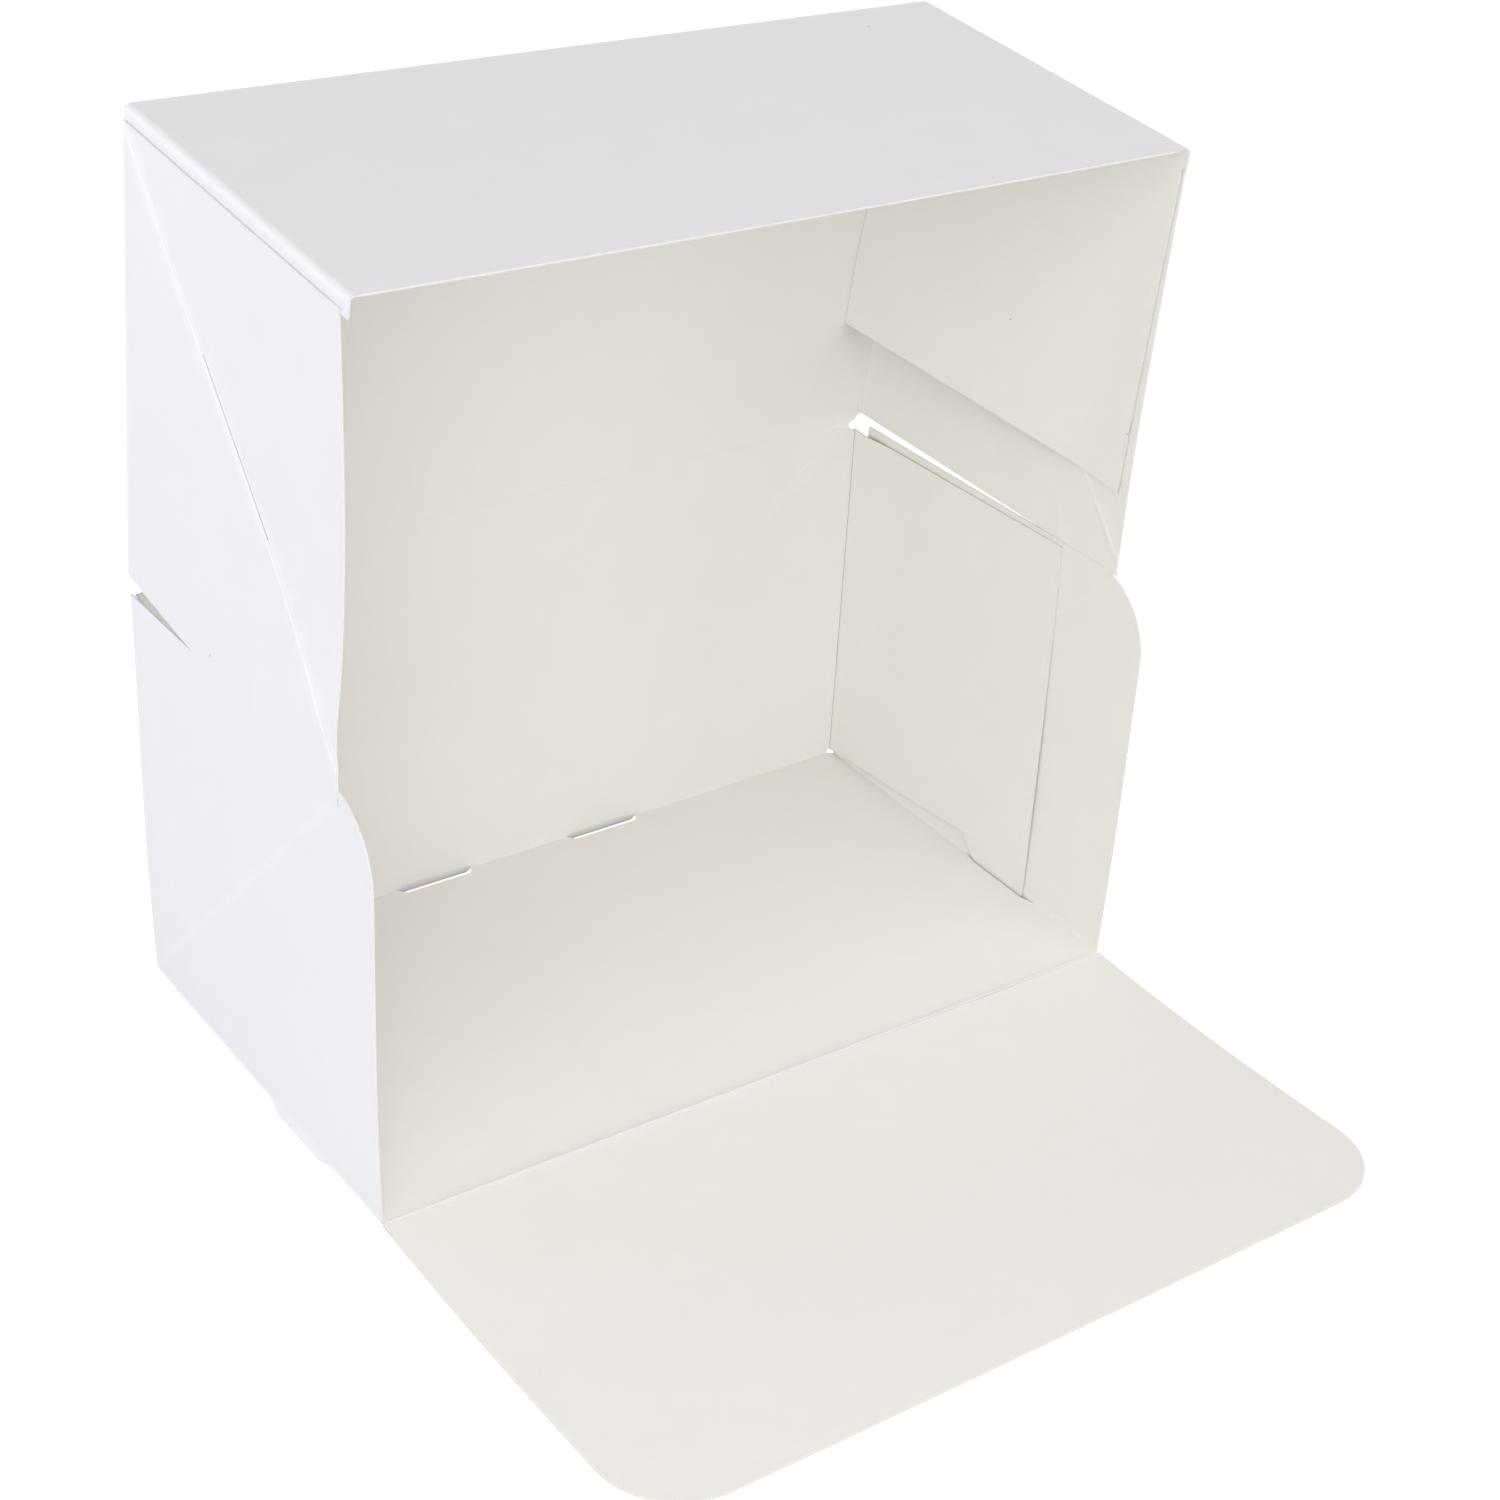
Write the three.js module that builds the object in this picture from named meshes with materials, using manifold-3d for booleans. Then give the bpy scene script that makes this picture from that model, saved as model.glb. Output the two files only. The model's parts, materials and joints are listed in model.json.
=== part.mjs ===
// Pastry box of creased paperboard: a tray with a drop front and a hinged lid, shown standing open.
// Millimetres. X to the right, Y to the back, Z up, origin at the middle of the base panel's underside.
import * as THREE from 'three';
import { mergeVertices } from 'three/addons/utils/BufferGeometryUtils.js';
import Module from 'manifold-3d';

const wasm = await Module();
wasm.setup();

// The sheet
const board = 0.4; // thickness of the paperboard
const foldRadius = 0.6; // outside radius of a folded crease
const slip = 0.2; // clearance between two layers of board that slide on each other
const creaseGap = 0.6; // bare strip between two panels that turn on a crease
const beadRadius = 0.2; // raised bead of board along an unfolded crease
const seamGap = 0.3; // clearance at a seam that is neither folded nor glued
const relief = 1.2; // radius of the round cut where creases meet at the foot
const hingeRelief = 2; // radius of the round cut at each end of the lid crease
const cornerRadius = 18.5; // rounded free corners of the front wall and the tray's sides
const scoreWidth = 0.8; // pressed line on the outside of a side wall
const scoreDepth = 0.12;

// The tray
const boxWidth = 200;
const baseDepth = 110;
const wallHeight = 101; // base underside to the axis of the lid crease
const topClearance = 0.3; // closed lid panel to the walls below it
const sideWallSetback = 3.8; // back of the tray to the rear edge of a side wall
const sideTopFall = 1.9; // how much lower a side wall is where its front corner starts to round

// Locks at the foot of the tray
const sideLockFront = 24.6; // front edge of the tray to the side lock
const sideLockLength = 26.1;
const backLockOffset = 24.8; // middle of the tray to the middle of a back lock
const backLockLength = 22.1;
const lockDepth = 2.6; // how far a lock is cut into the base panel
const sideLockChamfer = 3.5;
const backLockChamfer = 2;

// Inner flaps
const flapTopInset = 2.4; // top of the side wall to the top of the flap, at the back
const flapTopFall = 0.4;
const flapCornerLength = 4.7; // back of the tray to where the flap's top starts to run straight
const flapFrontLean = 1.9; // how much further forward the flap's foot reaches
const flapFootRear = 1.9; // height of the flap's lower edge at the back
const flapFootFront = 6.1; // height of the same edge where the tab begins
const tabSetback = 3.7; // front end of the lock slot to the tab
const tabRearClearance = 2.1; // tab to the chamfer at the slot's rear end
const tabShoulder = 8; // slanted rear side of the tab, measured along the tray

// The lid
const lidLean = 6.3; // degrees that the open lid leans forward
const lidFrontHeight = 92;
const lidSideInset = 1.5; // lid front wall's edge to the lid side's free edge, at the lid's front end
const lidSideFlare = 5; // how much wider the lid side is near the hinge
const lidSideMiddleRise = 3.9; // hinge axis to the lower edge of a lid side, half way forward
const lidSideMiddle = 60; // how far forward the lower edge starts to rise faster
const lidSideTipRise = 7;
const rim = 3.4; // strip of corner flap that shows past the end of a lid side
const cornerFlapLength = 81.3; // lid front wall's outer face to the flap's free end
const cornerFlapInset = 1; // flap's long edge set back from the lid front wall's edge
const nickOffset = 13.2; // flap's free end to the nick in its long edge
const nickSize = 1;
const glueLength = 62;
const glueWidth = 12;
const glueInset = 6; // edge of the corner flap to the glue

// Worked out from the sizes above
const half = boxWidth / 2;
const front = -baseDepth / 2;
const back = baseDepth / 2;
const layer = board + slip;
const innerRadius = foldRadius - board;
const lidHalf = half + 2 * layer; // outer face of a lid side
const flapHalf = half + layer; // outer face of a corner flap
const hingeY = back - board / 2;
const lidInner = hingeY - front + board / 2 + slip + slip; // crease axis to the lid front's inner face
const lidOuter = lidInner + board;
const lipReach = lockDepth - board; // how far a lip stands out below the base panel
const sideFront = front + board / 2 + slip; // front edge of the tray's side walls
const sideRear = back - sideWallSetback;
const flapJoggle = sideWallSetback - foldRadius - slip; // the flap steps inside the side wall in this length
const sideTopRear = wallHeight - board / 2 - topClearance;
const sideTopFront = sideTopRear - sideTopFall;
const frontWallLength = wallHeight - board - topClearance; // crease axis to the free edge
const frontDroop = Math.asin(lipReach / frontWallLength); // lets the free edge down to the table
const lidSideRise = creaseGap / 2 + hingeRelief; // the same edge at the back
const lidSideTop = lidFrontHeight - lidSideInset; // width of a lid side at the lid's front end
const lidSideFoot = lidSideTop + lidSideFlare;
const lockFront = front + sideLockFront;
const lockRear = lockFront + sideLockLength;
const overrun = 5; // how far a cutter runs past what it cuts
const weldDistance = 1e-5;
const arcSteps = 16;
const foldSteps = 5;

const outsideWhite = new THREE.MeshStandardMaterial({ color: 0xf1f3f7, roughness: 0.45, metalness: 0 });
const insideCream = new THREE.MeshStandardMaterial({ color: 0xe6e4db, roughness: 0.85, metalness: 0 });
const driedGlue = new THREE.MeshStandardMaterial({ color: 0xe9e2c8, roughness: 0.35, metalness: 0 });

// Solids

function solidOf(geometry) {
  const bare = geometry.index ? geometry.toNonIndexed() : geometry.clone();
  bare.deleteAttribute('normal');
  bare.deleteAttribute('uv');
  const merged = mergeVertices(bare, weldDistance);
  const mesh = new wasm.Mesh({
    numProp: 3,
    vertProperties: new Float32Array(merged.attributes.position.array),
    triVerts: new Uint32Array(merged.index.array),
  });
  return new wasm.Manifold(mesh);
}

function geometryOf(solid) {
  const mesh = solid.getMesh();
  const geometry = new THREE.BufferGeometry();
  geometry.setAttribute('position', new THREE.BufferAttribute(new Float32Array(mesh.vertProperties), 3));
  geometry.setIndex(new THREE.BufferAttribute(new Uint32Array(mesh.triVerts), 1));
  geometry.computeVertexNormals();
  return geometry;
}

function joined(solids) {
  return solids.reduce((sum, next) => sum.add(next));
}

function cutFrom(solid, cutters) {
  return cutters.reduce((rest, cutter) => rest.subtract(cutter), solid);
}

function outline(points) {
  return new THREE.Shape(points.map(([u, v]) => new THREE.Vector2(u, v)));
}

// A shape drawn on two axes and given a thickness along the third
function raised(shape, thickness, drawnOn, start, steps = foldSteps) {
  const geometry = new THREE.ExtrudeGeometry(shape, {
    depth: thickness,
    bevelEnabled: false,
    curveSegments: steps,
  });
  const axes = {
    xy: [new THREE.Vector3(1, 0, 0), new THREE.Vector3(0, 1, 0), new THREE.Vector3(0, 0, 1)],
    yz: [new THREE.Vector3(0, 1, 0), new THREE.Vector3(0, 0, 1), new THREE.Vector3(1, 0, 0)],
    zx: [new THREE.Vector3(0, 0, 1), new THREE.Vector3(1, 0, 0), new THREE.Vector3(0, 1, 0)],
  }[drawnOn];
  geometry.applyMatrix4(new THREE.Matrix4().makeBasis(...axes));
  geometry.translate(...axes[2].clone().multiplyScalar(start).toArray());
  return solidOf(geometry);
}

// Quarter of a tube wall: the cross-section of a board folded square
function foldSection(centreU, centreV, startAngle) {
  const shape = new THREE.Shape();
  const endAngle = startAngle + Math.PI / 2;
  shape.absarc(centreU, centreV, foldRadius, startAngle, endAngle, false);
  shape.absarc(centreU, centreV, innerRadius, endAngle, startAngle, true);
  shape.closePath();
  return shape;
}

function part(name, solid, material) {
  const mesh = new THREE.Mesh(geometryOf(solid), material);
  mesh.name = name;
  return mesh;
}

// Tray

function trapezium(from, to, root, tip, chamfer) {
  return [[from, root], [to, root], [to - chamfer, tip], [from + chamfer, tip]];
}

function basePanel() {
  const edgeX = half - foldRadius;
  const edgeBack = back - foldRadius;
  const shape = new THREE.Shape();
  shape.moveTo(-edgeX, front + creaseGap / 2);
  shape.lineTo(edgeX, front + creaseGap / 2);
  shape.lineTo(edgeX, edgeBack - relief);
  shape.absarc(edgeX, edgeBack, relief, -Math.PI / 2, -Math.PI, true);
  shape.lineTo(relief - edgeX, edgeBack);
  shape.absarc(-edgeX, edgeBack, relief, 0, -Math.PI / 2, true);
  shape.closePath();
  const cutters = [];
  for (const side of [-1, 1]) {
    const slot = trapezium(lockFront, lockRear, side * half, side * (half - lockDepth), sideLockChamfer);
    const sideSlot = outline(slot.map(([y, x]) => [x, y]));
    cutters.push(raised(sideSlot, board + 2 * overrun, 'xy', -overrun));
    const middle = side * backLockOffset;
    const from = middle - backLockLength / 2;
    const to = middle + backLockLength / 2;
    const backSlot = outline(trapezium(from, to, back, back - lockDepth, backLockChamfer));
    cutters.push(raised(backSlot, board + 2 * overrun, 'xy', -overrun));
  }
  return cutFrom(raised(shape, board, 'xy', 0), cutters);
}

function backWall() {
  const edgeX = half - foldRadius;
  const top = wallHeight - creaseGap / 2;
  const shape = new THREE.Shape();
  shape.moveTo(-edgeX, foldRadius + relief);
  shape.lineTo(relief - edgeX, foldRadius);
  shape.lineTo(edgeX - relief, foldRadius);
  shape.lineTo(edgeX, foldRadius + relief);
  shape.lineTo(edgeX, top - hingeRelief);
  shape.absarc(edgeX, top, hingeRelief, -Math.PI / 2, -Math.PI, true);
  shape.lineTo(hingeRelief - edgeX, top);
  shape.absarc(-edgeX, top, hingeRelief, 0, -Math.PI / 2, true);
  shape.closePath();
  const turned = new THREE.Shape(shape.getPoints(foldSteps).map((p) => new THREE.Vector2(p.y, p.x)));
  const pieces = [raised(turned, board, 'zx', back - board)];
  const ends = [relief - edgeX];
  for (const side of [-1, 1]) {
    const from = side * backLockOffset - backLockLength / 2;
    const to = side * backLockOffset + backLockLength / 2;
    const lip = trapezium(from, to, board, -lipReach, backLockChamfer);
    const stem = [[from, board], [from, foldRadius], [to, foldRadius], [to, board]];
    pieces.push(raised(outline(lip.map(([x, z]) => [z, x])), board, 'zx', back - board));
    pieces.push(raised(outline(stem.map(([x, z]) => [z, x])), board, 'zx', back - board));
    ends.push(from, to);
  }
  ends.push(edgeX - relief);
  for (let i = 0; i < ends.length; i += 2) {
    const fold = foldSection(back - foldRadius, foldRadius, -Math.PI / 2);
    pieces.push(raised(fold, ends[i + 1] - ends[i], 'yz', ends[i]));
  }
  return joined(pieces);
}

function sideWallShape() {
  const shape = new THREE.Shape();
  shape.moveTo(sideFront, foldRadius);
  shape.lineTo(lockFront, foldRadius);
  shape.lineTo(lockFront, board);
  shape.lineTo(lockFront + sideLockChamfer, -lipReach);
  shape.lineTo(lockRear - sideLockChamfer, -lipReach);
  shape.lineTo(lockRear, board);
  shape.lineTo(lockRear, foldRadius);
  shape.lineTo(sideRear, foldRadius);
  shape.lineTo(sideRear, sideTopRear);
  shape.lineTo(sideFront + cornerRadius, sideTopFront);
  shape.absarc(sideFront + cornerRadius, sideTopFront - cornerRadius, cornerRadius, Math.PI / 2, Math.PI, false);
  shape.closePath();
  return shape;
}

function sideWall(side) {
  const innerFace = side > 0 ? half - board : -half;
  const pieces = [raised(sideWallShape(), board, 'yz', innerFace, arcSteps)];
  const startAngle = side > 0 ? Math.PI / 2 : -Math.PI;
  const centreX = side * (half - foldRadius);
  for (const [from, to] of [[sideFront, lockFront], [lockRear, sideRear]]) {
    pieces.push(raised(foldSection(foldRadius, centreX, startAngle), to - from, 'zx', from));
  }
  return cutFrom(joined(pieces), [diagonalScore(side)]);
}

// The pressed line that runs up at 45 degrees from the tray's lower back corner to the top edge
function diagonalScore(side) {
  const reach = sideTopRear * Math.SQRT2;
  const groove = new THREE.BoxGeometry(2 * scoreDepth, reach, scoreWidth);
  groove.rotateX(Math.PI / 2);
  groove.translate(0, 0, reach / 2);
  groove.rotateX(Math.PI / 4);
  groove.translate(side * half, back - foldRadius, foldRadius);
  return solidOf(groove);
}

// Seen from above: a fold off the back wall, a short step inwards and a straight run forwards
function flapPlan(side) {
  const foldY = back - foldRadius;
  const outer = half - layer;
  const run = [
    [half, foldY],
    [outer, foldY - flapJoggle],
    [outer, front],
    [outer - board, front],
    [outer - board, foldY - flapJoggle],
    [half - board, foldY],
  ];
  const centreX = side * (half - foldRadius);
  const startAngle = side > 0 ? 0 : Math.PI / 2;
  const height = wallHeight + 2 * overrun;
  const straight = raised(outline(run.map(([x, y]) => [side * x, y])), height, 'xy', -overrun);
  const fold = raised(foldSection(centreX, foldY, startAngle), height, 'xy', -overrun);
  return straight.add(fold);
}

function innerFlap(side) {
  const tabFront = lockFront + tabSetback;
  const tabRear = lockRear - sideLockChamfer - tabRearClearance;
  const flapFront = tabFront + flapFrontLean;
  const flapTopRear = sideTopRear - flapTopInset;
  const flapTopCrease = wallHeight - creaseGap / 2 - hingeRelief;
  const sideView = outline([
    [back + overrun, flapFootRear],
    [back + overrun, flapTopCrease],
    [back - foldRadius, flapTopCrease],
    [back - flapCornerLength, flapTopRear],
    [flapFront, flapTopRear - flapTopFall],
    [tabFront, -lipReach],
    [tabRear, -lipReach],
    [tabRear + tabShoulder, flapFootFront],
    [back - foldRadius, flapFootRear],
  ]);
  return flapPlan(side).intersect(raised(sideView, boxWidth + 2 * overrun, 'yz', -half - overrun));
}

// Drawn forwards from the crease axis, which is at y 0 and z 0
function frontWall() {
  const near = -creaseGap / 2;
  const far = -frontWallLength;
  const shape = new THREE.Shape();
  shape.moveTo(half, near);
  shape.lineTo(-half, near);
  shape.lineTo(-half, far + cornerRadius);
  shape.absarc(cornerRadius - half, far + cornerRadius, cornerRadius, Math.PI, 1.5 * Math.PI, false);
  shape.absarc(half - cornerRadius, far + cornerRadius, cornerRadius, 1.5 * Math.PI, 2 * Math.PI, false);
  shape.closePath();
  return raised(shape, board, 'xy', -board / 2, arcSteps);
}

// The bead that the creasing rule raises along a crease, drawn round the crease's axis
function creaseBead() {
  const length = 2 * (half - foldRadius - hingeRelief);
  const bead = new THREE.CylinderGeometry(beadRadius, beadRadius, length, 2 * foldSteps);
  bead.rotateZ(Math.PI / 2);
  return bead;
}

function frontCreaseBead() {
  return solidOf(creaseBead().translate(0, front, board / 2));
}

function lidCreaseBead() {
  return solidOf(creaseBead().translate(0, hingeY, wallHeight));
}

// Lid, drawn upright: the hinge axis is at y 0 and z 0, and the lid's inside faces the front

const lidSkin = board / 2; // outer face of the lid panel, behind the hinge axis
const forward = (distance) => lidSkin - distance;

function lidPanel() {
  const edgeX = lidHalf - foldRadius;
  const low = creaseGap / 2;
  const high = lidOuter - foldRadius - seamGap;
  const shape = new THREE.Shape();
  shape.moveTo(low, edgeX - hingeRelief);
  shape.absarc(low, edgeX, hingeRelief, -Math.PI / 2, 0, false);
  shape.lineTo(high, edgeX);
  shape.lineTo(high, -edgeX);
  shape.lineTo(low + hingeRelief, -edgeX);
  shape.absarc(low, -edgeX, hingeRelief, 0, Math.PI / 2, false);
  shape.closePath();
  return raised(shape, board, 'zx', lidSkin - board);
}

function lidFrontWall() {
  const width = 2 * (flapHalf - foldRadius);
  const sheet = outline([
    [forward(foldRadius), lidInner],
    [forward(foldRadius), lidOuter],
    [forward(lidFrontHeight), lidOuter],
    [forward(lidFrontHeight), lidInner],
  ]);
  const fold = foldSection(forward(foldRadius), lidOuter - foldRadius, 0);
  return joined([raised(sheet, width, 'yz', -width / 2), raised(fold, width, 'yz', -width / 2)]);
}

const lidSideEnd = lidOuter - rim;

function lidSideSheet(side) {
  const face = side > 0 ? lidHalf - board : -lidHalf;
  return raised(outline([
    [forward(foldRadius), lidSideRise],
    [forward(lidSideMiddle), lidSideMiddleRise],
    [forward(lidSideFoot), lidSideTipRise],
    [forward(lidSideTop), lidSideEnd],
    [forward(foldRadius), lidSideEnd],
  ]), board, 'yz', face);
}

// What lies to one side of the 45 degree diagonal crease, which starts at the end of the lid side's fold
function pastDiagonal(towardFront) {
  const reach = 2 * (lidOuter + lidFrontHeight);
  const block = new THREE.BoxGeometry(2 * (lidHalf + overrun), reach, reach);
  block.rotateX(Math.PI / 4);
  const step = towardFront * (reach + seamGap) / 2 / Math.SQRT2;
  block.translate(0, forward(foldRadius) - step, lidSideEnd + step);
  return solidOf(block);
}

function lidSideRear(side) {
  const angle = side > 0 ? 0 : Math.PI / 2;
  const fold = foldSection(side * (lidHalf - foldRadius), forward(foldRadius), angle);
  const whole = joined([lidSideSheet(side), raised(fold, lidSideEnd - lidSideRise, 'xy', lidSideRise)]);
  return whole.intersect(pastDiagonal(-1));
}

function lidSideFront(side) {
  return lidSideSheet(side).intersect(pastDiagonal(1));
}

function cornerFlap(side) {
  const face = side > 0 ? flapHalf - board : -flapHalf;
  const low = lidOuter - cornerFlapLength;
  const high = lidOuter - foldRadius;
  const rear = forward(board + slip);
  const longEdge = forward(lidFrontHeight - cornerFlapInset);
  const nick = low + nickOffset;
  const sheet = outline([
    [rear, low],
    [longEdge, low],
    [longEdge, nick - nickSize],
    [longEdge + nickSize, nick],
    [longEdge, nick],
    [longEdge, lidSideEnd],
    [forward(lidFrontHeight), lidSideEnd],
    [forward(lidFrontHeight), high],
    [rear, high],
  ]);
  const angle = side > 0 ? 0 : -Math.PI / 2;
  const fold = foldSection(high, side * (flapHalf - foldRadius), angle);
  const foldLength = lidFrontHeight - board - slip;
  const pieces = [raised(sheet, board, 'yz', face), raised(fold, foldLength, 'zx', forward(lidFrontHeight))];
  return joined(pieces);
}

// A run of glue near the long edge, between a corner flap and the front triangle of a lid side
function glueRun(side) {
  const start = side > 0 ? flapHalf : -flapHalf - slip;
  const edge = forward(lidSideTop - glueInset);
  const high = lidSideEnd - glueInset;
  return raised(outline([
    [edge, high],
    [edge + glueWidth, high],
    [edge + glueWidth, high - glueLength + glueWidth],
    [edge, high - glueLength],
  ]), slip, 'yz', start);
}

// Assembly

const box = new THREE.Group();
box.add(part('base_panel', basePanel(), insideCream));
box.add(part('back_wall', backWall(), insideCream));
box.add(part('front_crease_bead', frontCreaseBead(), insideCream));
box.add(part('lid_crease_bead', lidCreaseBead(), insideCream));

const dropFront = new THREE.Group();
dropFront.position.set(0, front, board / 2);
dropFront.rotation.x = frontDroop;
dropFront.add(part('front_wall', frontWall(), insideCream));
box.add(dropFront);

const lid = new THREE.Group();
lid.position.set(0, hingeY, wallHeight);
lid.rotation.x = THREE.MathUtils.degToRad(lidLean);
lid.add(part('lid_panel', lidPanel(), insideCream));
lid.add(part('lid_front_wall', lidFrontWall(), outsideWhite));

for (const [word, side] of [['left', -1], ['right', 1]]) {
  box.add(part(`${word}_side_wall`, sideWall(side), outsideWhite));
  box.add(part(`${word}_inner_flap`, innerFlap(side), insideCream));
  lid.add(part(`${word}_lid_side_rear`, lidSideRear(side), outsideWhite));
  lid.add(part(`${word}_lid_side_front`, lidSideFront(side), outsideWhite));
  lid.add(part(`${word}_corner_flap`, cornerFlap(side), insideCream));
  lid.add(part(`${word}_glue_run`, glueRun(side), driedGlue));
}
box.add(lid);

export default box;
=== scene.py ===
import json
import math

import bmesh
import bpy
from bpy.props import FloatProperty, FloatVectorProperty, IntProperty, PointerProperty
from bpy.types import Operator, Panel, PropertyGroup
from mathutils import Matrix, Vector, noise
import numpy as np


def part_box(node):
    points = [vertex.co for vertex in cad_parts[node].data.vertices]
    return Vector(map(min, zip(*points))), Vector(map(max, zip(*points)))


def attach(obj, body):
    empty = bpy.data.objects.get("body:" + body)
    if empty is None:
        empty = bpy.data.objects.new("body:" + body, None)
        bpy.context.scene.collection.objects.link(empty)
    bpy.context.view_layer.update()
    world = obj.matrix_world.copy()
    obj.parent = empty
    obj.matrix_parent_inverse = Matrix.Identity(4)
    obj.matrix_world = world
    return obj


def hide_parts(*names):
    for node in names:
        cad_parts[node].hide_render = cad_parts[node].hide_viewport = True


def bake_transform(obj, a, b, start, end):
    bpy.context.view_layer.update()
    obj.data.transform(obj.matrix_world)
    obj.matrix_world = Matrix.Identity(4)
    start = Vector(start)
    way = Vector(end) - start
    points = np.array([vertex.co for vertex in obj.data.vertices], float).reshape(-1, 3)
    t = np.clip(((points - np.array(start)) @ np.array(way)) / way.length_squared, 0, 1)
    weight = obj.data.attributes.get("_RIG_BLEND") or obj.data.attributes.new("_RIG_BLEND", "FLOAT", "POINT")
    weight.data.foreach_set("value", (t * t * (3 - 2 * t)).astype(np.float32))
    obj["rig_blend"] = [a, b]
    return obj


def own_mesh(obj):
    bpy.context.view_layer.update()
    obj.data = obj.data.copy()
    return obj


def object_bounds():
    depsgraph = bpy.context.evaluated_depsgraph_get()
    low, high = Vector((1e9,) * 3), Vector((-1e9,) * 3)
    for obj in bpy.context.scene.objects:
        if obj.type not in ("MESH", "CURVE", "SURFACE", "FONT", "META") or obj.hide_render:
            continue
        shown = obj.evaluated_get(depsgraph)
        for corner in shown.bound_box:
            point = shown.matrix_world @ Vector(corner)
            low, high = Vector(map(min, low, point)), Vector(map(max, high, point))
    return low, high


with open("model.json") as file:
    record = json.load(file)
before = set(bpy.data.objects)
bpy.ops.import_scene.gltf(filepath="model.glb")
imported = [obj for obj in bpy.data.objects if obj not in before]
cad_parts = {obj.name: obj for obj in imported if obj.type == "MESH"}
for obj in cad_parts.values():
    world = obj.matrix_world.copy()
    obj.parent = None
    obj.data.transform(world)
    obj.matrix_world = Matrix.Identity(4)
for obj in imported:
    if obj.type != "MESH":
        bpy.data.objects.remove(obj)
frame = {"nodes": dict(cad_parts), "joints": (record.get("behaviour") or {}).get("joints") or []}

bl_info = {
    "name": "Pastry Box",
    "version": (1, 0, 0),
    "blender": (4, 5, 0),
    "location": "View3D > Sidebar > Pastry Box",
    "description": "Builds a white paperboard pastry box, standing open, and a plain studio round it",
    "category": "Object",
}

# Places that come from the frame, in metres. Each sheet is drawn flat, as it is cut, with its inside face
# up, then it is folded at its root and stood in its place by one of the matrices below.
cad_low, cad_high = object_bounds()
base_low, base_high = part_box("base_panel")
back_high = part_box("back_wall")[1]
wall_low, wall_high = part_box("right_side_wall")
flap_low, flap_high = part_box("right_inner_flap")
joints = {joint["name"]: joint for joint in frame["joints"]}
lid_axis = Vector(joints["lid_hinge"]["pos_m"])
front_axis = Vector(joints["front_wall_hinge"]["pos_m"])
lid_lean = math.radians(90 - joints["lid_hinge"]["range_deg"][1])
front_droop = math.radians(joints["front_wall_hinge"]["range_deg"][1] - 90)
lid_frame = Matrix.Translation(lid_axis) @ Matrix.Rotation(lid_lean, 4, "X")
front_frame = Matrix.Translation(front_axis) @ Matrix.Rotation(front_droop, 4, "X")


def box_in(turned, node):
    """Lowest and highest corner of a CAD node, measured in a turned frame."""
    back_again = turned.inverted()
    places = [back_again @ vert.co for vert in frame["nodes"][node].data.vertices]
    return Vector(map(min, zip(*places))), Vector(map(max, zip(*places)))


board = base_high.z - base_low.z
panel_low, panel_high = box_in(lid_frame, "lid_panel")
top_low, top_high = box_in(lid_frame, "lid_front_wall")
lid_side_high = box_in(lid_frame, "right_lid_side_front")[1]
corner_low, corner_high = box_in(lid_frame, "right_corner_flap")
drop_low, drop_high = box_in(front_frame, "front_wall")


# Settings

def length(name, default, description):
    """A size in metres."""
    return FloatProperty(name=name, default=default, description=description, unit="LENGTH", precision=5)


def colour(name, default, description):
    return FloatVectorProperty(
        name=name, default=default, description=description, subtype="COLOR", min=0, max=1)


def turn(name, default, description):
    """An angle, written in degrees."""
    return FloatProperty(name=name, default=math.radians(default), description=description, subtype="ANGLE")


def power(name, default, description):
    """A lamp's power in watts."""
    return FloatProperty(name=name, default=default, description=description, unit="POWER")


def amount(name, default, description):
    return FloatProperty(name=name, default=default, description=description, subtype="FACTOR", min=0)


def pair(name, default, description):
    """A size for the left side and one for the right, in metres."""
    return FloatVectorProperty(
        name=name, default=default, description=description, size=2, unit="LENGTH", precision=5)


class SheetSizes(PropertyGroup):
    """Sizes of the board itself and of what is pressed into it."""
    fold_radius: length("Fold radius", 0.0006, "Outside radius of a folded crease")
    lid_fold_radius: length(
        "Lid fold radius", 0.0011, "The same, where the corner flaps fold off the lid front")
    slit: length("Slit", 0.00008, "Width of a knife cut in the board")
    bead_reach: length("Bead reach", 0.0013, "How far the pressed bead beside a fold reaches")
    bead_height: length("Bead height", 0.00009, "How far that bead stands up on the inside")
    crease_width: length("Crease width", 0.0017, "Width of an unfolded crease in the tray")
    crease_depth: length("Crease depth", 0.00005, "How far such a crease is pressed in")
    lid_crease_width: length("Lid crease width", 0.0025, "Width of an unfolded crease in the lid")
    lid_crease_depth: length("Lid crease depth", 0.00016, "How far such a crease is pressed in")
    buckle_width: length("Buckle width", 0.004, "Width of the mark where the back has buckled")
    buckle_depth: length("Buckle depth", 0.00012, "How far the board stands up along it")
    # The rim is the strip where a painted highlight runs along a cut edge.
    rim: length("Rim", 0.0005, "Strip along a cut edge that the knife has pressed")
    cell: length("Cell", 0.005, "Spacing of the mesh on a panel")
    ripple: length("Ripple", 0.00008, "How far the board is from flat, all over")
    fold_steps: IntProperty(name="Fold steps", default=8, description="Faces round a fold", min=2)
    arc_steps: IntProperty(name="Arc steps", default=24, description="Edges round a corner", min=4)


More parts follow.
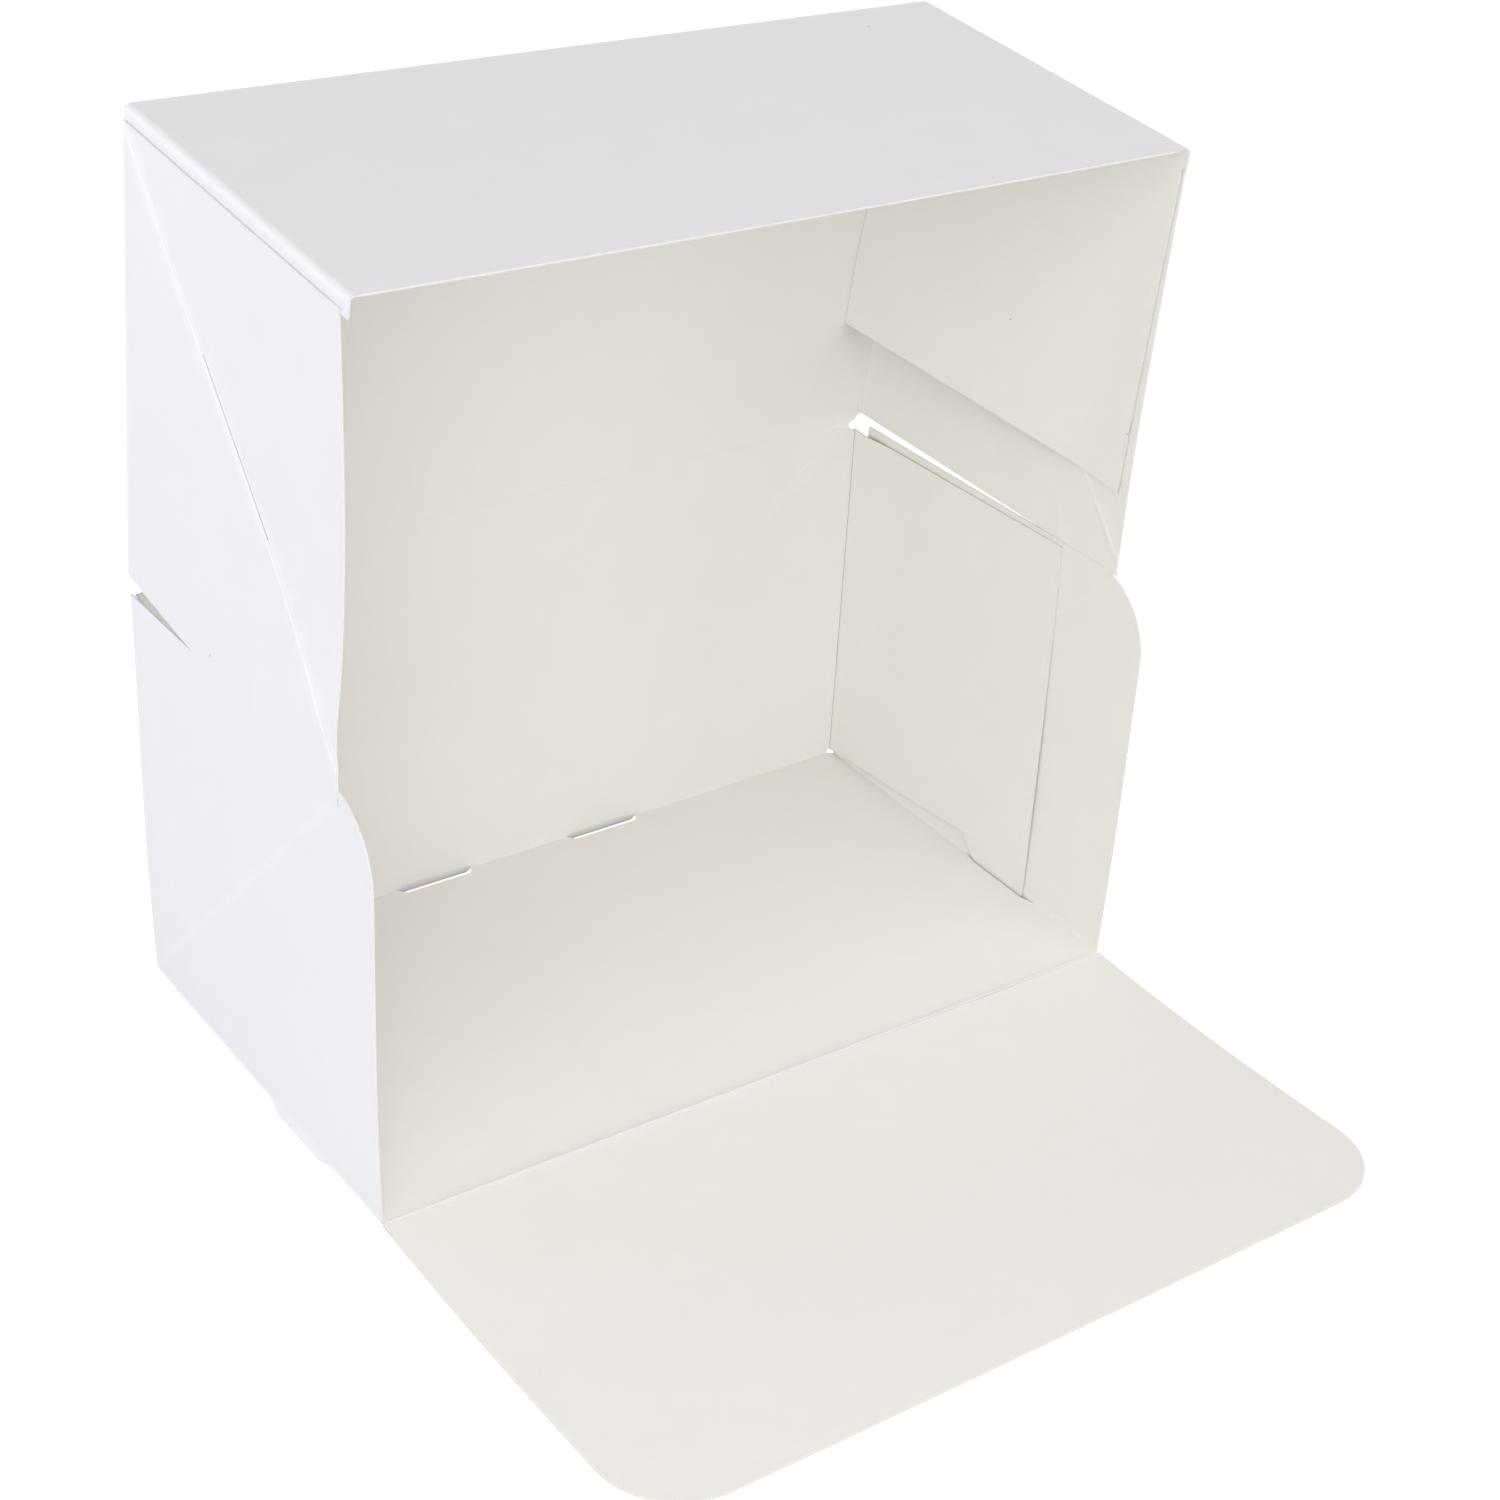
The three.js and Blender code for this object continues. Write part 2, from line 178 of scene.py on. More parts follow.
class TraySizes(PropertyGroup):
    """Sizes of the tray's cut-outs, corners and locks."""
    corner_radius: length("Corner radius", 0.0185, "Rounded free corners")
    foot_relief: length("Foot relief", 0.0009, "Round cut where creases meet at the foot")
    hinge_relief: length("Hinge relief", 0.002, "Round cut at the ends of the lid crease")
    side_top: pair("Side top", (0.0013, 0.0005), "Lid crease down to a side wall's top, at its rear")
    side_shoulder: length("Side shoulder", 0.0024, "Lid crease down to that top, near its front")
    side_rear: pair("Side rear", (0.0013, 0.0038), "Back of the tray to a side wall's rear edge, at its top")
    side_foot_rear: length("Side foot rear", 0.0013, "Back of the tray to that edge, at its foot")
    side_lock_front: length("Side lock front", 0.0246, "Front of the tray to a side lock")
    side_lock_length: length("Side lock length", 0.0261, "Length of a side lock")
    side_lock_chamfer: length("Side lock chamfer", 0.0035, "Slanted end of a side lock")
    back_lock_offset: length("Back lock offset", 0.0248, "Middle of the tray to a back lock")
    back_lock_length: length("Back lock length", 0.0221, "Length of a back lock")
    back_lock_chamfer: length("Back lock chamfer", 0.002, "Slanted end of a back lock")
    lock_depth: length("Lock depth", 0.0026, "How far a lock is cut into the base")
    side_slot: length("Side slot", 0.0014, "How far a side slot stays open")
    back_lip: length("Back lip", 0.0011, "How far a back lip reaches down")
    flap_corner: length("Flap corner", 0.0047, "Back of the tray to the straight top of a flap")
    flap_top_inset: length("Flap top inset", 0.0024, "Top of the side wall to the top of the flap")
    flap_top_fall: length("Flap top fall", 0.0004, "How much lower that top is at the front")
    flap_front_lean: length("Flap front lean", 0.0019, "How much further forward a flap's foot is")
    flap_foot_rear: length("Flap foot rear", 0.0011, "Height of a flap's lower edge at the back")
    flap_foot_front: length("Flap foot front", 0.0061, "Height of that edge where the tab begins")
    tab_setback: length("Tab setback", 0.0037, "Front end of the slot to the tab")
    tab_length: length("Tab length", 0.0168, "Length of the tab's end")
    tab_shoulder: length("Tab shoulder", 0.008, "Slanted rear side of the tab")


class LidSizes(PropertyGroup):
    """Sizes of the lid's sides and corner flaps."""
    side_inset: pair("Side inset", (0.0027, 0.0006), "Lid front's edge to a side's free edge, at the top")
    side_root: pair("Side root", (0.0035, 0.0018), "Hinge axis to a side's lower edge, at its fold")
    side_middle: pair("Side middle", (0.03, 0.06), "How far forward the lower edge changes slope")
    side_middle_rise: pair("Side middle rise", (0.0021, 0.0053), "Hinge axis to the lower edge there")
    side_tip: pair("Side tip", (0.0963, 0.0977), "How far forward a side's tip reaches")
    side_tip_rise: pair("Side tip rise", (0.0042, 0.0076), "Hinge axis to that tip")
    side_flare: pair("Side flare", (0.023, 0.023), "Hinge axis to where the free edge turns to the tip")
    side_flare_reach: pair("Side flare reach", (0.0936, 0.0964), "How far forward the free edge is there")
    flap_inset: pair("Flap inset", (0.004, 0.001), "Corner flap's long edge behind the lid front's edge")
    flap_lean: pair("Flap lean", (0.003, 0.0024), "How much further forward that edge is at its free end")
    flap_rim: pair("Flap rim", (0.0045, 0.005), "How far down a corner flap is as deep as the lid front")
    flap_slant: length("Flap slant", 0.0019, "How much longer a corner flap is at its long edge")
    flap_held: length("Flap held", 0.08, "How far forward a corner flap hangs loose")
    nick_offset: length("Nick offset", 0.0132, "Corner flap's free end to the nick")
    nick: length("Nick", 0.001, "Size of the nick in the long edge")
    cut_start: length("Cut start", 0.0352, "Where the diagonal is cut through, forward of the lid panel")
    cut_end: length("Cut end", 0.0625, "Where that cut ends")
    cut_width: length("Cut width", 0.00035, "Width of that cut")


class Warps(PropertyGroup):
    """How far the panels are bent out of flat."""
    front_sag: length("Front sag", 0.0011, "Drop front below a straight line, half way out")
    front_curl: length("Front curl", 0.0009, "Drop front's free corners above its middle")
    lid_side: pair("Lid side", (0.0016, 0.0006), "Lid side's free edge inwards, half way up")
    lid_side_foot: length("Lid side foot", 0.02, "Hinge axis to where a lid side begins to bow")
    corner_flap: length("Corner flap", 0.01, "Corner flap's inner corner inwards")
    corner_flap_rim: length("Corner flap rim", 0.00018, "Corner flap outwards, against the lid side's edge")
    side_wall: length("Side wall", 0.001, "Tray side outwards, towards its top")
    side_wall_share: amount("Side wall share", 0.45, "Share of the height at which it is all the way out")
    inner_flap: length("Inner flap", 0.00115, "Inner flap outwards, towards its top and its front")
    inner_flap_share: amount("Inner flap share", 0.9, "Share of the height at which it is all the way out")
    lifted_left: length("Lifted left", 0.0013, "Base's back left corner upwards")
    lifted_right: length("Lifted right", 0.0034, "Base's back right corner upwards")
    crease_sag: length("Crease sag", 0.0005, "Front crease downwards, half way along")
    back_wall: length("Back wall", 0.0006, "Back wall inwards, half way up")
    base: length("Base", 0.0004, "Base panel upwards, in its middle")
    lid_panel: length("Lid panel", 0.0006, "Lid panel inwards, half way up")
    lid_front: length("Lid front", 0.0003, "Lid front's raw edge downwards, half way along")


class Finishes(PropertyGroup):
    """Colours of the board and the glue."""
    outside: colour("Outside", (0.752, 0.763, 0.790), "Coated outside face")
    inside: colour("Inside", (0.838, 0.830, 0.801), "Uncoated inside face")
    edge: colour("Cut edge", (0.78, 0.775, 0.765), "Cut edge of the board")
    glue: colour("Glue", (0.80, 0.72, 0.50), "Dried glue")
    speck: colour("Speck", (0.42, 0.38, 0.32), "Fibre specks in the board")


class StudioSettings(PropertyGroup):
    """Camera, lamps and floor."""
    camera_place: FloatVectorProperty(
        name="Camera place", default=(-0.3142, -0.4519, 0.3677), subtype="TRANSLATION", unit="LENGTH",
        description="Where the camera stands")
    camera_azimuth: turn("Camera azimuth", -37.3, "Turn of the camera about the vertical")
    camera_elevation: turn("Camera elevation", 29.2, "How far the camera looks down")
    camera_roll: turn("Camera roll", 3.64, "Tilt of the picture")
    camera_lens: FloatProperty(name="Lens", default=65.52, description="Focal length in millimetres")
    key: power("Key", 5.58, "Large lamp high at the front left")
    top: power("Top", 5.51, "Large lamp nearly overhead")
    left_fill: power("Left fill", 2.67, "Low lamp at the front left")
    right_fill: power("Right fill", 1.57, "Low lamp at the front right")
    rear_fill: power("Rear fill", 2.68, "Low lamp at the rear left")
    key_tint: colour("Key tint", (1.0, 0.971, 0.928), "Colour of the key")
    top_tint: colour("Top tint", (1.0, 0.95, 0.933), "Colour of the lamp overhead")
    left_tint: colour("Left tint", (0.997, 1.0, 0.974), "Colour of the left fill")
    right_tint: colour("Right tint", (0.996, 1.0, 0.971), "Colour of the right fill")
    rear_tint: colour("Rear tint", (0.848, 0.922, 1.0), "Colour of the rear fill")
    sky_tint: colour("Sky tint", (1.0, 0.981, 0.988), "Colour of the even light")
    large_size: length("Large size", 0.9, "Sides of a large lamp")
    large_distance: length("Large distance", 1.6, "Box to a large lamp")
    fill_width: length("Fill width", 0.7, "Width of a low lamp")
    fill_height: length("Fill height", 0.3, "Height of a low lamp")
    fill_distance: length("Fill distance", 1.0, "Box to a low lamp")
    fill_level: length("Fill level", 0.16, "Table to the middle of a low lamp")
    sky: amount("Sky", 0.572, "Strength of the even light from all round")
    floor_glow: amount("Floor glow", 0.6, "How much the floor is lifted towards white for the camera")


SETTINGS = {
    "box_sheet": SheetSizes,
    "box_tray": TraySizes,
    "box_lid": LidSizes,
    "box_warps": Warps,
    "box_finishes": Finishes,
    "box_studio": StudioSettings,
}


def setting(name):
    return getattr(bpy.context.scene, name)


# Node groups

def new_group(name, inputs, outputs):
    """An empty shader group with number inputs and with outputs of the kinds given."""
    group = bpy.data.node_groups.new(name, "ShaderNodeTree")
    for label, value in inputs.items():
        socket = group.interface.new_socket(label, in_out="INPUT", socket_type="NodeSocketFloat")
        socket.default_value = value
    for label, kind in outputs.items():
        group.interface.new_socket(label, in_out="OUTPUT", socket_type=kind)
    return group, group.nodes.new("NodeGroupInput"), group.nodes.new("NodeGroupOutput")


def node(tree, kind, operation=None, **values):
    """A node with its plain inputs set, by socket name or, for unnamed sockets, by _0, _1 and so on."""
    made = tree.nodes.new(kind)
    if operation:
        made.operation = operation
    for label, value in values.items():
        key = int(label[1:]) if label.startswith("_") else label.replace("_", " ")
        made.inputs[key].default_value = value
    return made


def fibre_group():
    """The board's surface: pressed fibres, soft mottling and an uneven sheen."""
    found = bpy.data.node_groups.get("board_fibres")
    if found:
        return found
    group, given, result = new_group(
        "board_fibres",
        {"Fibre Size": 0.0006, "Mottle Size": 0.012, "Streak": 0.35},
        {"Height": "NodeSocketFloat", "Mottle": "NodeSocketFloat", "Sheen": "NodeSocketFloat"},
    )
    link = group.links.new
    place = group.nodes.new("ShaderNodeTexCoord")

    def scale_of(size):
        inverse = node(group, "ShaderNodeMath", "DIVIDE", _0=1.0)
        link(given.outputs[size], inverse.inputs[1])
        return inverse

    stretched = node(group, "ShaderNodeMapping")
    stretched.inputs["Scale"].default_value = (0.45, 1.0, 1.0)
    link(place.outputs["Object"], stretched.inputs["Vector"])
    fibre_scale = scale_of("Fibre Size")
    fibres = node(group, "ShaderNodeTexNoise", Detail=5.0, Roughness=0.62, Distortion=0.6)
    link(stretched.outputs[0], fibres.inputs["Vector"])
    link(fibre_scale.outputs[0], fibres.inputs["Scale"])
    tufts = node(group, "ShaderNodeTexVoronoi")
    tufts.feature = "SMOOTH_F1"
    link(stretched.outputs[0], tufts.inputs["Vector"])
    link(fibre_scale.outputs[0], tufts.inputs["Scale"])
    mottle_scale = scale_of("Mottle Size")
    mottle = node(group, "ShaderNodeTexNoise", Detail=4.0, Roughness=0.5)
    link(place.outputs["Object"], mottle.inputs["Vector"])
    link(mottle_scale.outputs[0], mottle.inputs["Scale"])
    mixed = node(group, "ShaderNodeMath", "MULTIPLY_ADD")
    link(tufts.outputs["Distance"], mixed.inputs[0])
    link(given.outputs["Streak"], mixed.inputs[1])
    link(fibres.outputs[0], mixed.inputs[2])
    sheen = node(group, "ShaderNodeMath", "MULTIPLY_ADD", _1=0.5)
    link(mottle.outputs[0], sheen.inputs[0])
    link(fibres.outputs[0], sheen.inputs[2])
    link(mixed.outputs[0], result.inputs["Height"])
    link(mottle.outputs[0], result.inputs["Mottle"])
    link(sheen.outputs[0], result.inputs["Sheen"])
    return group


def speck_group():
    """Sparse fibre specks: a mask that is 1 on a speck."""
    found = bpy.data.node_groups.get("board_specks")
    if found:
        return found
    group, given, result = new_group(
        "board_specks",
        {"Spacing": 0.02, "Speck Share": 0.015, "Bare Share": 0.6},
        {"Mask": "NodeSocketFloat"},
    )
    link = group.links.new
    place = group.nodes.new("ShaderNodeTexCoord")
    scale = node(group, "ShaderNodeMath", "DIVIDE", _0=1.0)
    link(given.outputs["Spacing"], scale.inputs[1])
    cells = node(group, "ShaderNodeTexVoronoi")
    link(place.outputs["Object"], cells.inputs["Vector"])
    link(scale.outputs[0], cells.inputs["Scale"])
    near = node(group, "ShaderNodeMath", "LESS_THAN")
    link(cells.outputs["Distance"], near.inputs[0])
    link(given.outputs["Speck Share"], near.inputs[1])
    chosen = node(group, "ShaderNodeMath", "GREATER_THAN")
    link(cells.outputs["Color"], chosen.inputs[0])
    link(given.outputs["Bare Share"], chosen.inputs[1])
    both = node(group, "ShaderNodeMath", "MULTIPLY")
    link(near.outputs[0], both.inputs[0])
    link(chosen.outputs[0], both.inputs[1])
    link(both.outputs[0], result.inputs["Mask"])
    return group


def highlight_group():
    """Where a highlight is painted: along the creases and along the cut edges."""
    found = bpy.data.node_groups.get("board_painted_highlights")
    if found:
        return found
    group, given, result = new_group(
        "board_painted_highlights",
        {"Crease": 0.5, "Edge": 0.5},
        {"Mask": "NodeSocketFloat"},
    )
    link = group.links.new
    masks = []
    for label, attribute in (("Crease", "crease"), ("Edge", "edge")):
        source = group.nodes.new("ShaderNodeAttribute")
        source.attribute_name = attribute
        part = node(group, "ShaderNodeMath", "MULTIPLY")
        link(source.outputs["Fac"], part.inputs[0])
        link(given.outputs[label], part.inputs[1])
        masks.append(part)
    total = node(group, "ShaderNodeMath", "ADD")
    total.use_clamp = True
    link(masks[0].outputs[0], total.inputs[0])
    link(masks[1].outputs[0], total.inputs[1])
    link(total.outputs[0], result.inputs["Mask"])
    return group


# Materials

def placed_group(tree, group, **values):
    made = tree.nodes.new("ShaderNodeGroup")
    made.node_tree = group
    for label, value in values.items():
        made.inputs[label.replace("_", " ")].default_value = value
    return made


def colour_mix(tree, mask, under, over, share=1.0):
    """Colour under, with colour over where the mask says, as far as the share goes."""
    link = tree.links.new
    mix = tree.nodes.new("ShaderNodeMix")
    mix.data_type = "RGBA"
    strength = node(tree, "ShaderNodeMath", "MULTIPLY", _1=share)
    link(mask, strength.inputs[0])
    link(strength.outputs[0], mix.inputs["Factor"])
    if isinstance(under, tuple):
        mix.inputs[6].default_value = under
    else:
        link(under, mix.inputs[6])
    mix.inputs[7].default_value = over
    return mix.outputs[2]


def shade(tint, factor):
    """A colour made darker or lighter, with its alpha."""
    return tuple(min(1.0, part * factor) for part in tint) + (1.0,)


def new_material(name):
    made = bpy.data.materials.new(name)
    made.use_nodes = True
    return made, made.node_tree


def surfaced(tree, surface, colour_socket, smoothest, roughest, bump, depth=0.0001):
    """Feeds the shader its colour, a roughness that follows the sheen, and the relief of the surface."""
    link = tree.links.new
    shader = tree.nodes["Principled BSDF"]
    link(colour_socket, shader.inputs["Base Color"])
    spread = node(tree, "ShaderNodeMapRange", To_Min=smoothest, To_Max=roughest)
    link(surface.outputs["Sheen"], spread.inputs["Value"])
    link(spread.outputs[0], shader.inputs["Roughness"])
    relief = node(tree, "ShaderNodeBump", Strength=bump, Distance=depth)
    link(surface.outputs["Height"], relief.inputs["Height"])
    link(relief.outputs[0], shader.inputs["Normal"])


def paper(name, tint, fibre_size, bump, rough, rough_spread, sheen, crease, edge):
    """A face of the board: a tint with fibres, mottling and specks, and a painted highlight along creases and
    cut edges.
    """
    made, tree = new_material(name)
    tree.nodes["Principled BSDF"].inputs["Specular IOR Level"].default_value = sheen
    fibres = placed_group(tree, fibre_group(), Fibre_Size=fibre_size)
    specks = placed_group(tree, speck_group())
    highlights = placed_group(tree, highlight_group(), Crease=crease, Edge=edge)
    mottled = colour_mix(tree, fibres.outputs["Mottle"], shade(tint, 1.012), shade(tint, 0.975))
    fibrous = colour_mix(tree, fibres.outputs["Height"], mottled, shade(tint, 0.95), 0.25)
    # Painted highlight: the colour is lighter along the creases and the cut edges.
    highlighted = colour_mix(tree, highlights.outputs["Mask"], fibrous, shade(tint, 1.1))
    finished = colour_mix(tree, specks.outputs["Mask"], highlighted, shade(setting("box_finishes").speck, 1), 0.8)
    surfaced(tree, fibres, finished, rough - rough_spread, rough + rough_spread, bump)
    return made


def cut_edge_material():
    """The cut edge: plies of fibre that run round the sheet."""
    made, tree = new_material("cut_edge")
    tint = setting("box_finishes").edge
    fibres = placed_group(tree, fibre_group(), Fibre_Size=0.00025, Mottle_Size=0.004)
    plies = colour_mix(tree, fibres.outputs["Height"], shade(tint, 1.04), shade(tint, 0.86), 0.8)
    mottled = colour_mix(tree, fibres.outputs["Mottle"], plies, shade(tint, 0.95), 0.6)
    surfaced(tree, fibres, mottled, smoothest=0.8, roughest=1.0, bump=0.6)
    return made


def glue_material():
    """Dried glue: cloudy, with small bubbles."""
    made, tree = new_material("dried_glue")
    tint = setting("box_finishes").glue
    clouds = placed_group(tree, fibre_group(), Fibre_Size=0.0015, Mottle_Size=0.006)
    cloudy = colour_mix(tree, clouds.outputs["Mottle"], shade(tint, 1.1), shade(tint, 0.8))
    surfaced(tree, clouds, cloudy, smoothest=0.25, roughest=0.5, bump=0.5, depth=0.0002)
    return made


def board_materials():
    """The outside, the inside and the cut edge, made once."""
    names = ("coated_face", "plain_face", "cut_edge")
    if names[0] not in bpy.data.materials:
        finishes = setting("box_finishes")
        # The last two numbers set how strongly the painted highlights show on each face, along creases and
        # along cut edges.
        paper(names[0], finishes.outside, fibre_size=0.0009, bump=0.10, rough=0.52, rough_spread=0.06,
              sheen=0.45, crease=0.9, edge=0.25)
        paper(names[1], finishes.inside, fibre_size=0.0007, bump=0.35, rough=0.86, rough_spread=0.06,
              sheen=0.25, crease=0.35, edge=0.5)
        cut_edge_material()
    return [bpy.data.materials[name] for name in names]


OUTSIDE, INSIDE, EDGE = range(3)


# Sheets of board

SNAP = 1e-7
CREASE_CUTS = (-0.5, -0.32, -0.12, 0.12, 0.32, 0.5)  # lines of vertices along a crease, in widths of it
CREASE_HIGHLIGHT_LINE = 0.64  # middle of a crease to each of its two thin lines of painted highlight, in halves of its width
CREASE_HIGHLIGHT_FADE = 0.6  # how far from such a line its painted highlight has faded out, in the same measure
BEAD_STEPS = 5
ROOT_HIGHLIGHT = 0.5  # how strongly the painted highlight round a folded crease shows
STRIP_HIGHLIGHT = 0.12  # how strongly the painted highlight along a turning crease shows
STRIP_STEPS = 12
REAR_HOLD = 0.15  # share of the tray's depth, at its back, in which the back wall holds a flap
WAVE = 0.045  # spacing of the board's gentle unevenness


def arc(centre, radius, start, end):
    """Points round part of a circle, from one angle to another in degrees."""
    steps = setting("box_sheet").arc_steps
    angles = [math.radians(start + (end - start) * i / steps) for i in range(steps + 1)]
    return [(centre[0] + radius * math.cos(a), centre[1] + radius * math.sin(a)) for a in angles]


def blank(points):
    """A flat sheet from its outline, with the inside face up."""
    sheet = bmesh.new()
    # Weights of painted highlights, along the creases and folds and along the cut edges.
    sheet.verts.layers.float.new("crease")
    sheet.verts.layers.float.new("edge")
    face = sheet.faces.new([sheet.verts.new((x, y, 0)) for x, y in points])
    face.normal_update()
    if face.normal.z < 0:
        face.normal_flip()
    return sheet


def cut_line(sheet, point, across):
    """A line of vertices through the flat sheet: it passes the point and runs square to across."""
    geometry = sheet.verts[:] + sheet.edges[:] + sheet.faces[:]
    bmesh.ops.bisect_plane(
        sheet, geom=geometry, dist=SNAP, plane_co=(*point, 0), plane_no=(*across, 0))


def reach_of(sheet, axis):
    places = [vert.co[axis] for vert in sheet.verts]
    return min(places), max(places)


def gridded(sheet, cell):
    """Cuts the sheet into cells, so that it can bend."""
    for axis, across in ((0, (1, 0)), (1, (0, 1))):
        low, high = reach_of(sheet, axis)
        count = max(1, round((high - low) / cell))
        for i in range(1, count):
            place = low + (high - low) * i / count
            cut_line(sheet, (place, 0) if axis == 0 else (0, place), across)


def rimmed(sheet, width, root):
    """A narrow strip of faces along the outline. What is cut is marked for a painted highlight; the root
    isn't.
    """
    bmesh.ops.inset_region(
        sheet, faces=sheet.faces[:], thickness=width, use_even_offset=True, use_boundary=True)
    edge = sheet.verts.layers.float["edge"]
    for vert in sheet.verts:
        vert[edge] = 1.0 if vert.is_boundary and vert.co.y < root - width else 0.0


def press(sheet, point, along, width, depth, strength=1.0, soft_over=None):
    """A straight crease through the point, pressed in from the outside, with two thin lines of painted
    highlight along it.

    A soft one begins at the point, is deepest half way along its length and fades out to both ends.
    """
    along = Vector(along).normalized()
    across = Vector((-along.y, along.x))
    crease = sheet.verts.layers.float["crease"]
    point = Vector(point)
    for share in CREASE_CUTS:
        cut_line(sheet, point + across * width * share, across)
    marks = []
    for vert in sheet.verts:
        offset = Vector(vert.co.xy) - point
        side = abs(offset.dot(across)) / (width / 2)
        share = offset.dot(along) / soft_over if soft_over else 0.5
        if side < 1 and 0 < share < 1:
            marks.append((vert, side, math.sin(math.pi * share)))
    for vert, side, fade in marks:
        vert.co.z += depth * fade * (1 - smooth(side))
        # Painted highlight: the colour is made lighter along the two lines of the crease.
        vert[crease] = max(vert[crease], strength * fade * (1 - abs(side - CREASE_HIGHLIGHT_LINE) / CREASE_HIGHLIGHT_FADE))


def cut_through(sheet, point, along, width, start, end):
    """A knife cut along a line, from start to end, measured from the point."""
    along = Vector(along).normalized()
    across = Vector((-along.y, along.x))
    point = Vector(point)
    for travel in (start, end):
        cut_line(sheet, point + along * travel, along)
    for share in (-0.5, 0.5):
        cut_line(sheet, point + across * width * share, across)
    gone = []
    for face in sheet.faces:
        offset = Vector(face.calc_center_median().xy) - point
        if abs(offset.dot(across)) < width / 2 and start < offset.dot(along) < end:
            gone.append(face)
    bmesh.ops.delete(sheet, geom=gone, context="FACES")


def smooth(share):
    """An S-curve from 0 to 1."""
    share = min(1.0, max(0.0, share))
    return share * share * (3 - 2 * share)


def extruded(sheet, thickness):
    """Gives the flat sheet a thickness, about its middle surface."""
    bmesh.ops.translate(sheet, verts=sheet.verts[:], vec=(0, 0, -thickness / 2))
    made = bmesh.ops.extrude_face_region(sheet, geom=sheet.faces[:])
    raised = [item for item in made["geom"] if isinstance(item, bmesh.types.BMVert)]
    bmesh.ops.translate(sheet, verts=raised, vec=(0, 0, thickness))
    bmesh.ops.recalc_face_normals(sheet, faces=sheet.faces[:])


def thickened(sheet):
    """Makes board of the flat sheet, with its two faces and its cut edge."""
    extruded(sheet, board)
    for face in sheet.faces:
        face.smooth = True
        face.material_index = EDGE
        if abs(face.normal.z) > 0.5:
            face.material_index = INSIDE if face.normal.z > 0 else OUTSIDE
    for edge in sheet.edges:
        edge.smooth = len({face.material_index for face in edge.link_faces}) == 1


def bent(sheet, height_at):
    """Lifts each point of the sheet towards the inside by what the function says of its place."""
    for vert in sheet.verts:
        vert.co.z += height_at(vert.co.x, vert.co.y)


def beaded_root(sheet, start):
    """The bead that creasing leaves on the inside beside a fold, and a painted highlight round the fold."""
    sizes = setting("box_sheet")
    crease = sheet.verts.layers.float["crease"]
    for vert in sheet.verts:
        share = (vert.co.y - start) / sizes.bead_reach
        if share < 1:
            # Painted highlight round the fold, fading out across the bead.
            vert[crease] = max(vert[crease], ROOT_HIGHLIGHT * (1 - max(0.0, share)))
        if 0 <= share <= 1 and vert.co.z > 0:
            vert.co.z += sizes.bead_height * math.sin(math.pi * share)


def settled(sheet, bow=0.0, full_at=1.0, rear_held=True):
    """Lets the tray stand as the real one does: sides bowed, back corners lifted, front crease sagging."""
    warps = setting("box_warps")
    depth = back_high.y - front_axis.y
    for vert in sheet.verts:
        side = vert.co.x / cad_high.x
        rearward = (vert.co.y - front_axis.y) / depth
        up = min(1.0, max(0.0, vert.co.z / lid_axis.z))
        across = min(1.0, max(0.0, (side + 1) / 2))
        lifted = warps.lifted_left + (warps.lifted_right - warps.lifted_left) * across ** 2
        bowed = bow * math.sin(math.pi / 2 * min(1.0, up / full_at))
        if rear_held:
            bowed *= smooth((1 - rearward) / REAR_HOLD)
        vert.co.x += math.copysign(bowed, side)
        sagging = warps.crease_sag * (1 - side ** 4) * (1 - min(1.0, abs(rearward))) ** 3
        vert.co.z += lifted * max(0.0, rearward) * (1 - up) - sagging * (1 - up)


def root_lines(sheet, start, radius=None):
    """Lines of vertices round the fold and across the bead beside it."""
    sizes = setting("box_sheet")
    arc_length = math.pi / 2 * ((radius or sizes.fold_radius) - board / 2)
    for i in range(sizes.fold_steps):
        cut_line(sheet, (0, start - arc_length * i / sizes.fold_steps), (0, 1))
    for i in range(1, BEAD_STEPS + 1):
        cut_line(sheet, (0, start + sizes.bead_reach * i / BEAD_STEPS), (0, 1))


def root_end(start, radius=None):
    """Where the flat sheet ends, so that it reaches all round its fold."""
    return start - math.pi / 2 * ((radius or setting("box_sheet").fold_radius) - board / 2)


def folded(sheet, start, kept=(), radius=None):
    """Folds the sheet square, towards the inside, below the start line. Lips in the kept ranges stay flat."""
    radius = (radius or setting("box_sheet").fold_radius) - board / 2
    for vert in sheet.verts:
        past = start - vert.co.y
        if past <= 0 or any(low - SNAP < vert.co.x < high + SNAP for low, high in kept):
            continue
        angle = min(past / radius, math.pi / 2)
        reach = radius - vert.co.z
        vert.co.y = start - reach * math.sin(angle)
        vert.co.z = radius - reach * math.cos(angle)


def stood(sheet, columns, origin, turned=Matrix()):
    """Stands the sheet in its place: columns are the directions that its own X, Y and Z take."""
    placed = Matrix(columns).transposed().to_4x4()
    placed.translation = origin
    bmesh.ops.transform(sheet, matrix=turned @ placed, verts=sheet.verts[:])


def as_piece(sheet, name, materials=None):
    """An object of the finished sheet, which nowhere stands out of the box's own bounds."""
    for vert in sheet.verts:
        for axis in range(3):
            vert.co[axis] = min(cad_high[axis], max(cad_low[axis], vert.co[axis]))
    mesh = bpy.data.meshes.new(name)
    sheet.to_mesh(mesh)
    sheet.free()
    for material in materials or board_materials():
        mesh.materials.append(material)
    piece = bpy.data.objects.new(name, mesh)
    bpy.context.scene.collection.objects.link(piece)
    return piece


def carried(piece, body, slot, *nodes):
    """Says which body carries the piece and which nodes it stands for; the slot, what it is made of, is not
    used.
    """
    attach(piece, body)
    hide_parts(*nodes)


def uneven(x, y, seed):
    """A gentle, fixed unevenness of the board, between -1 and 1."""
    return noise.noise(Vector((x / WAVE, y / WAVE, seed)))


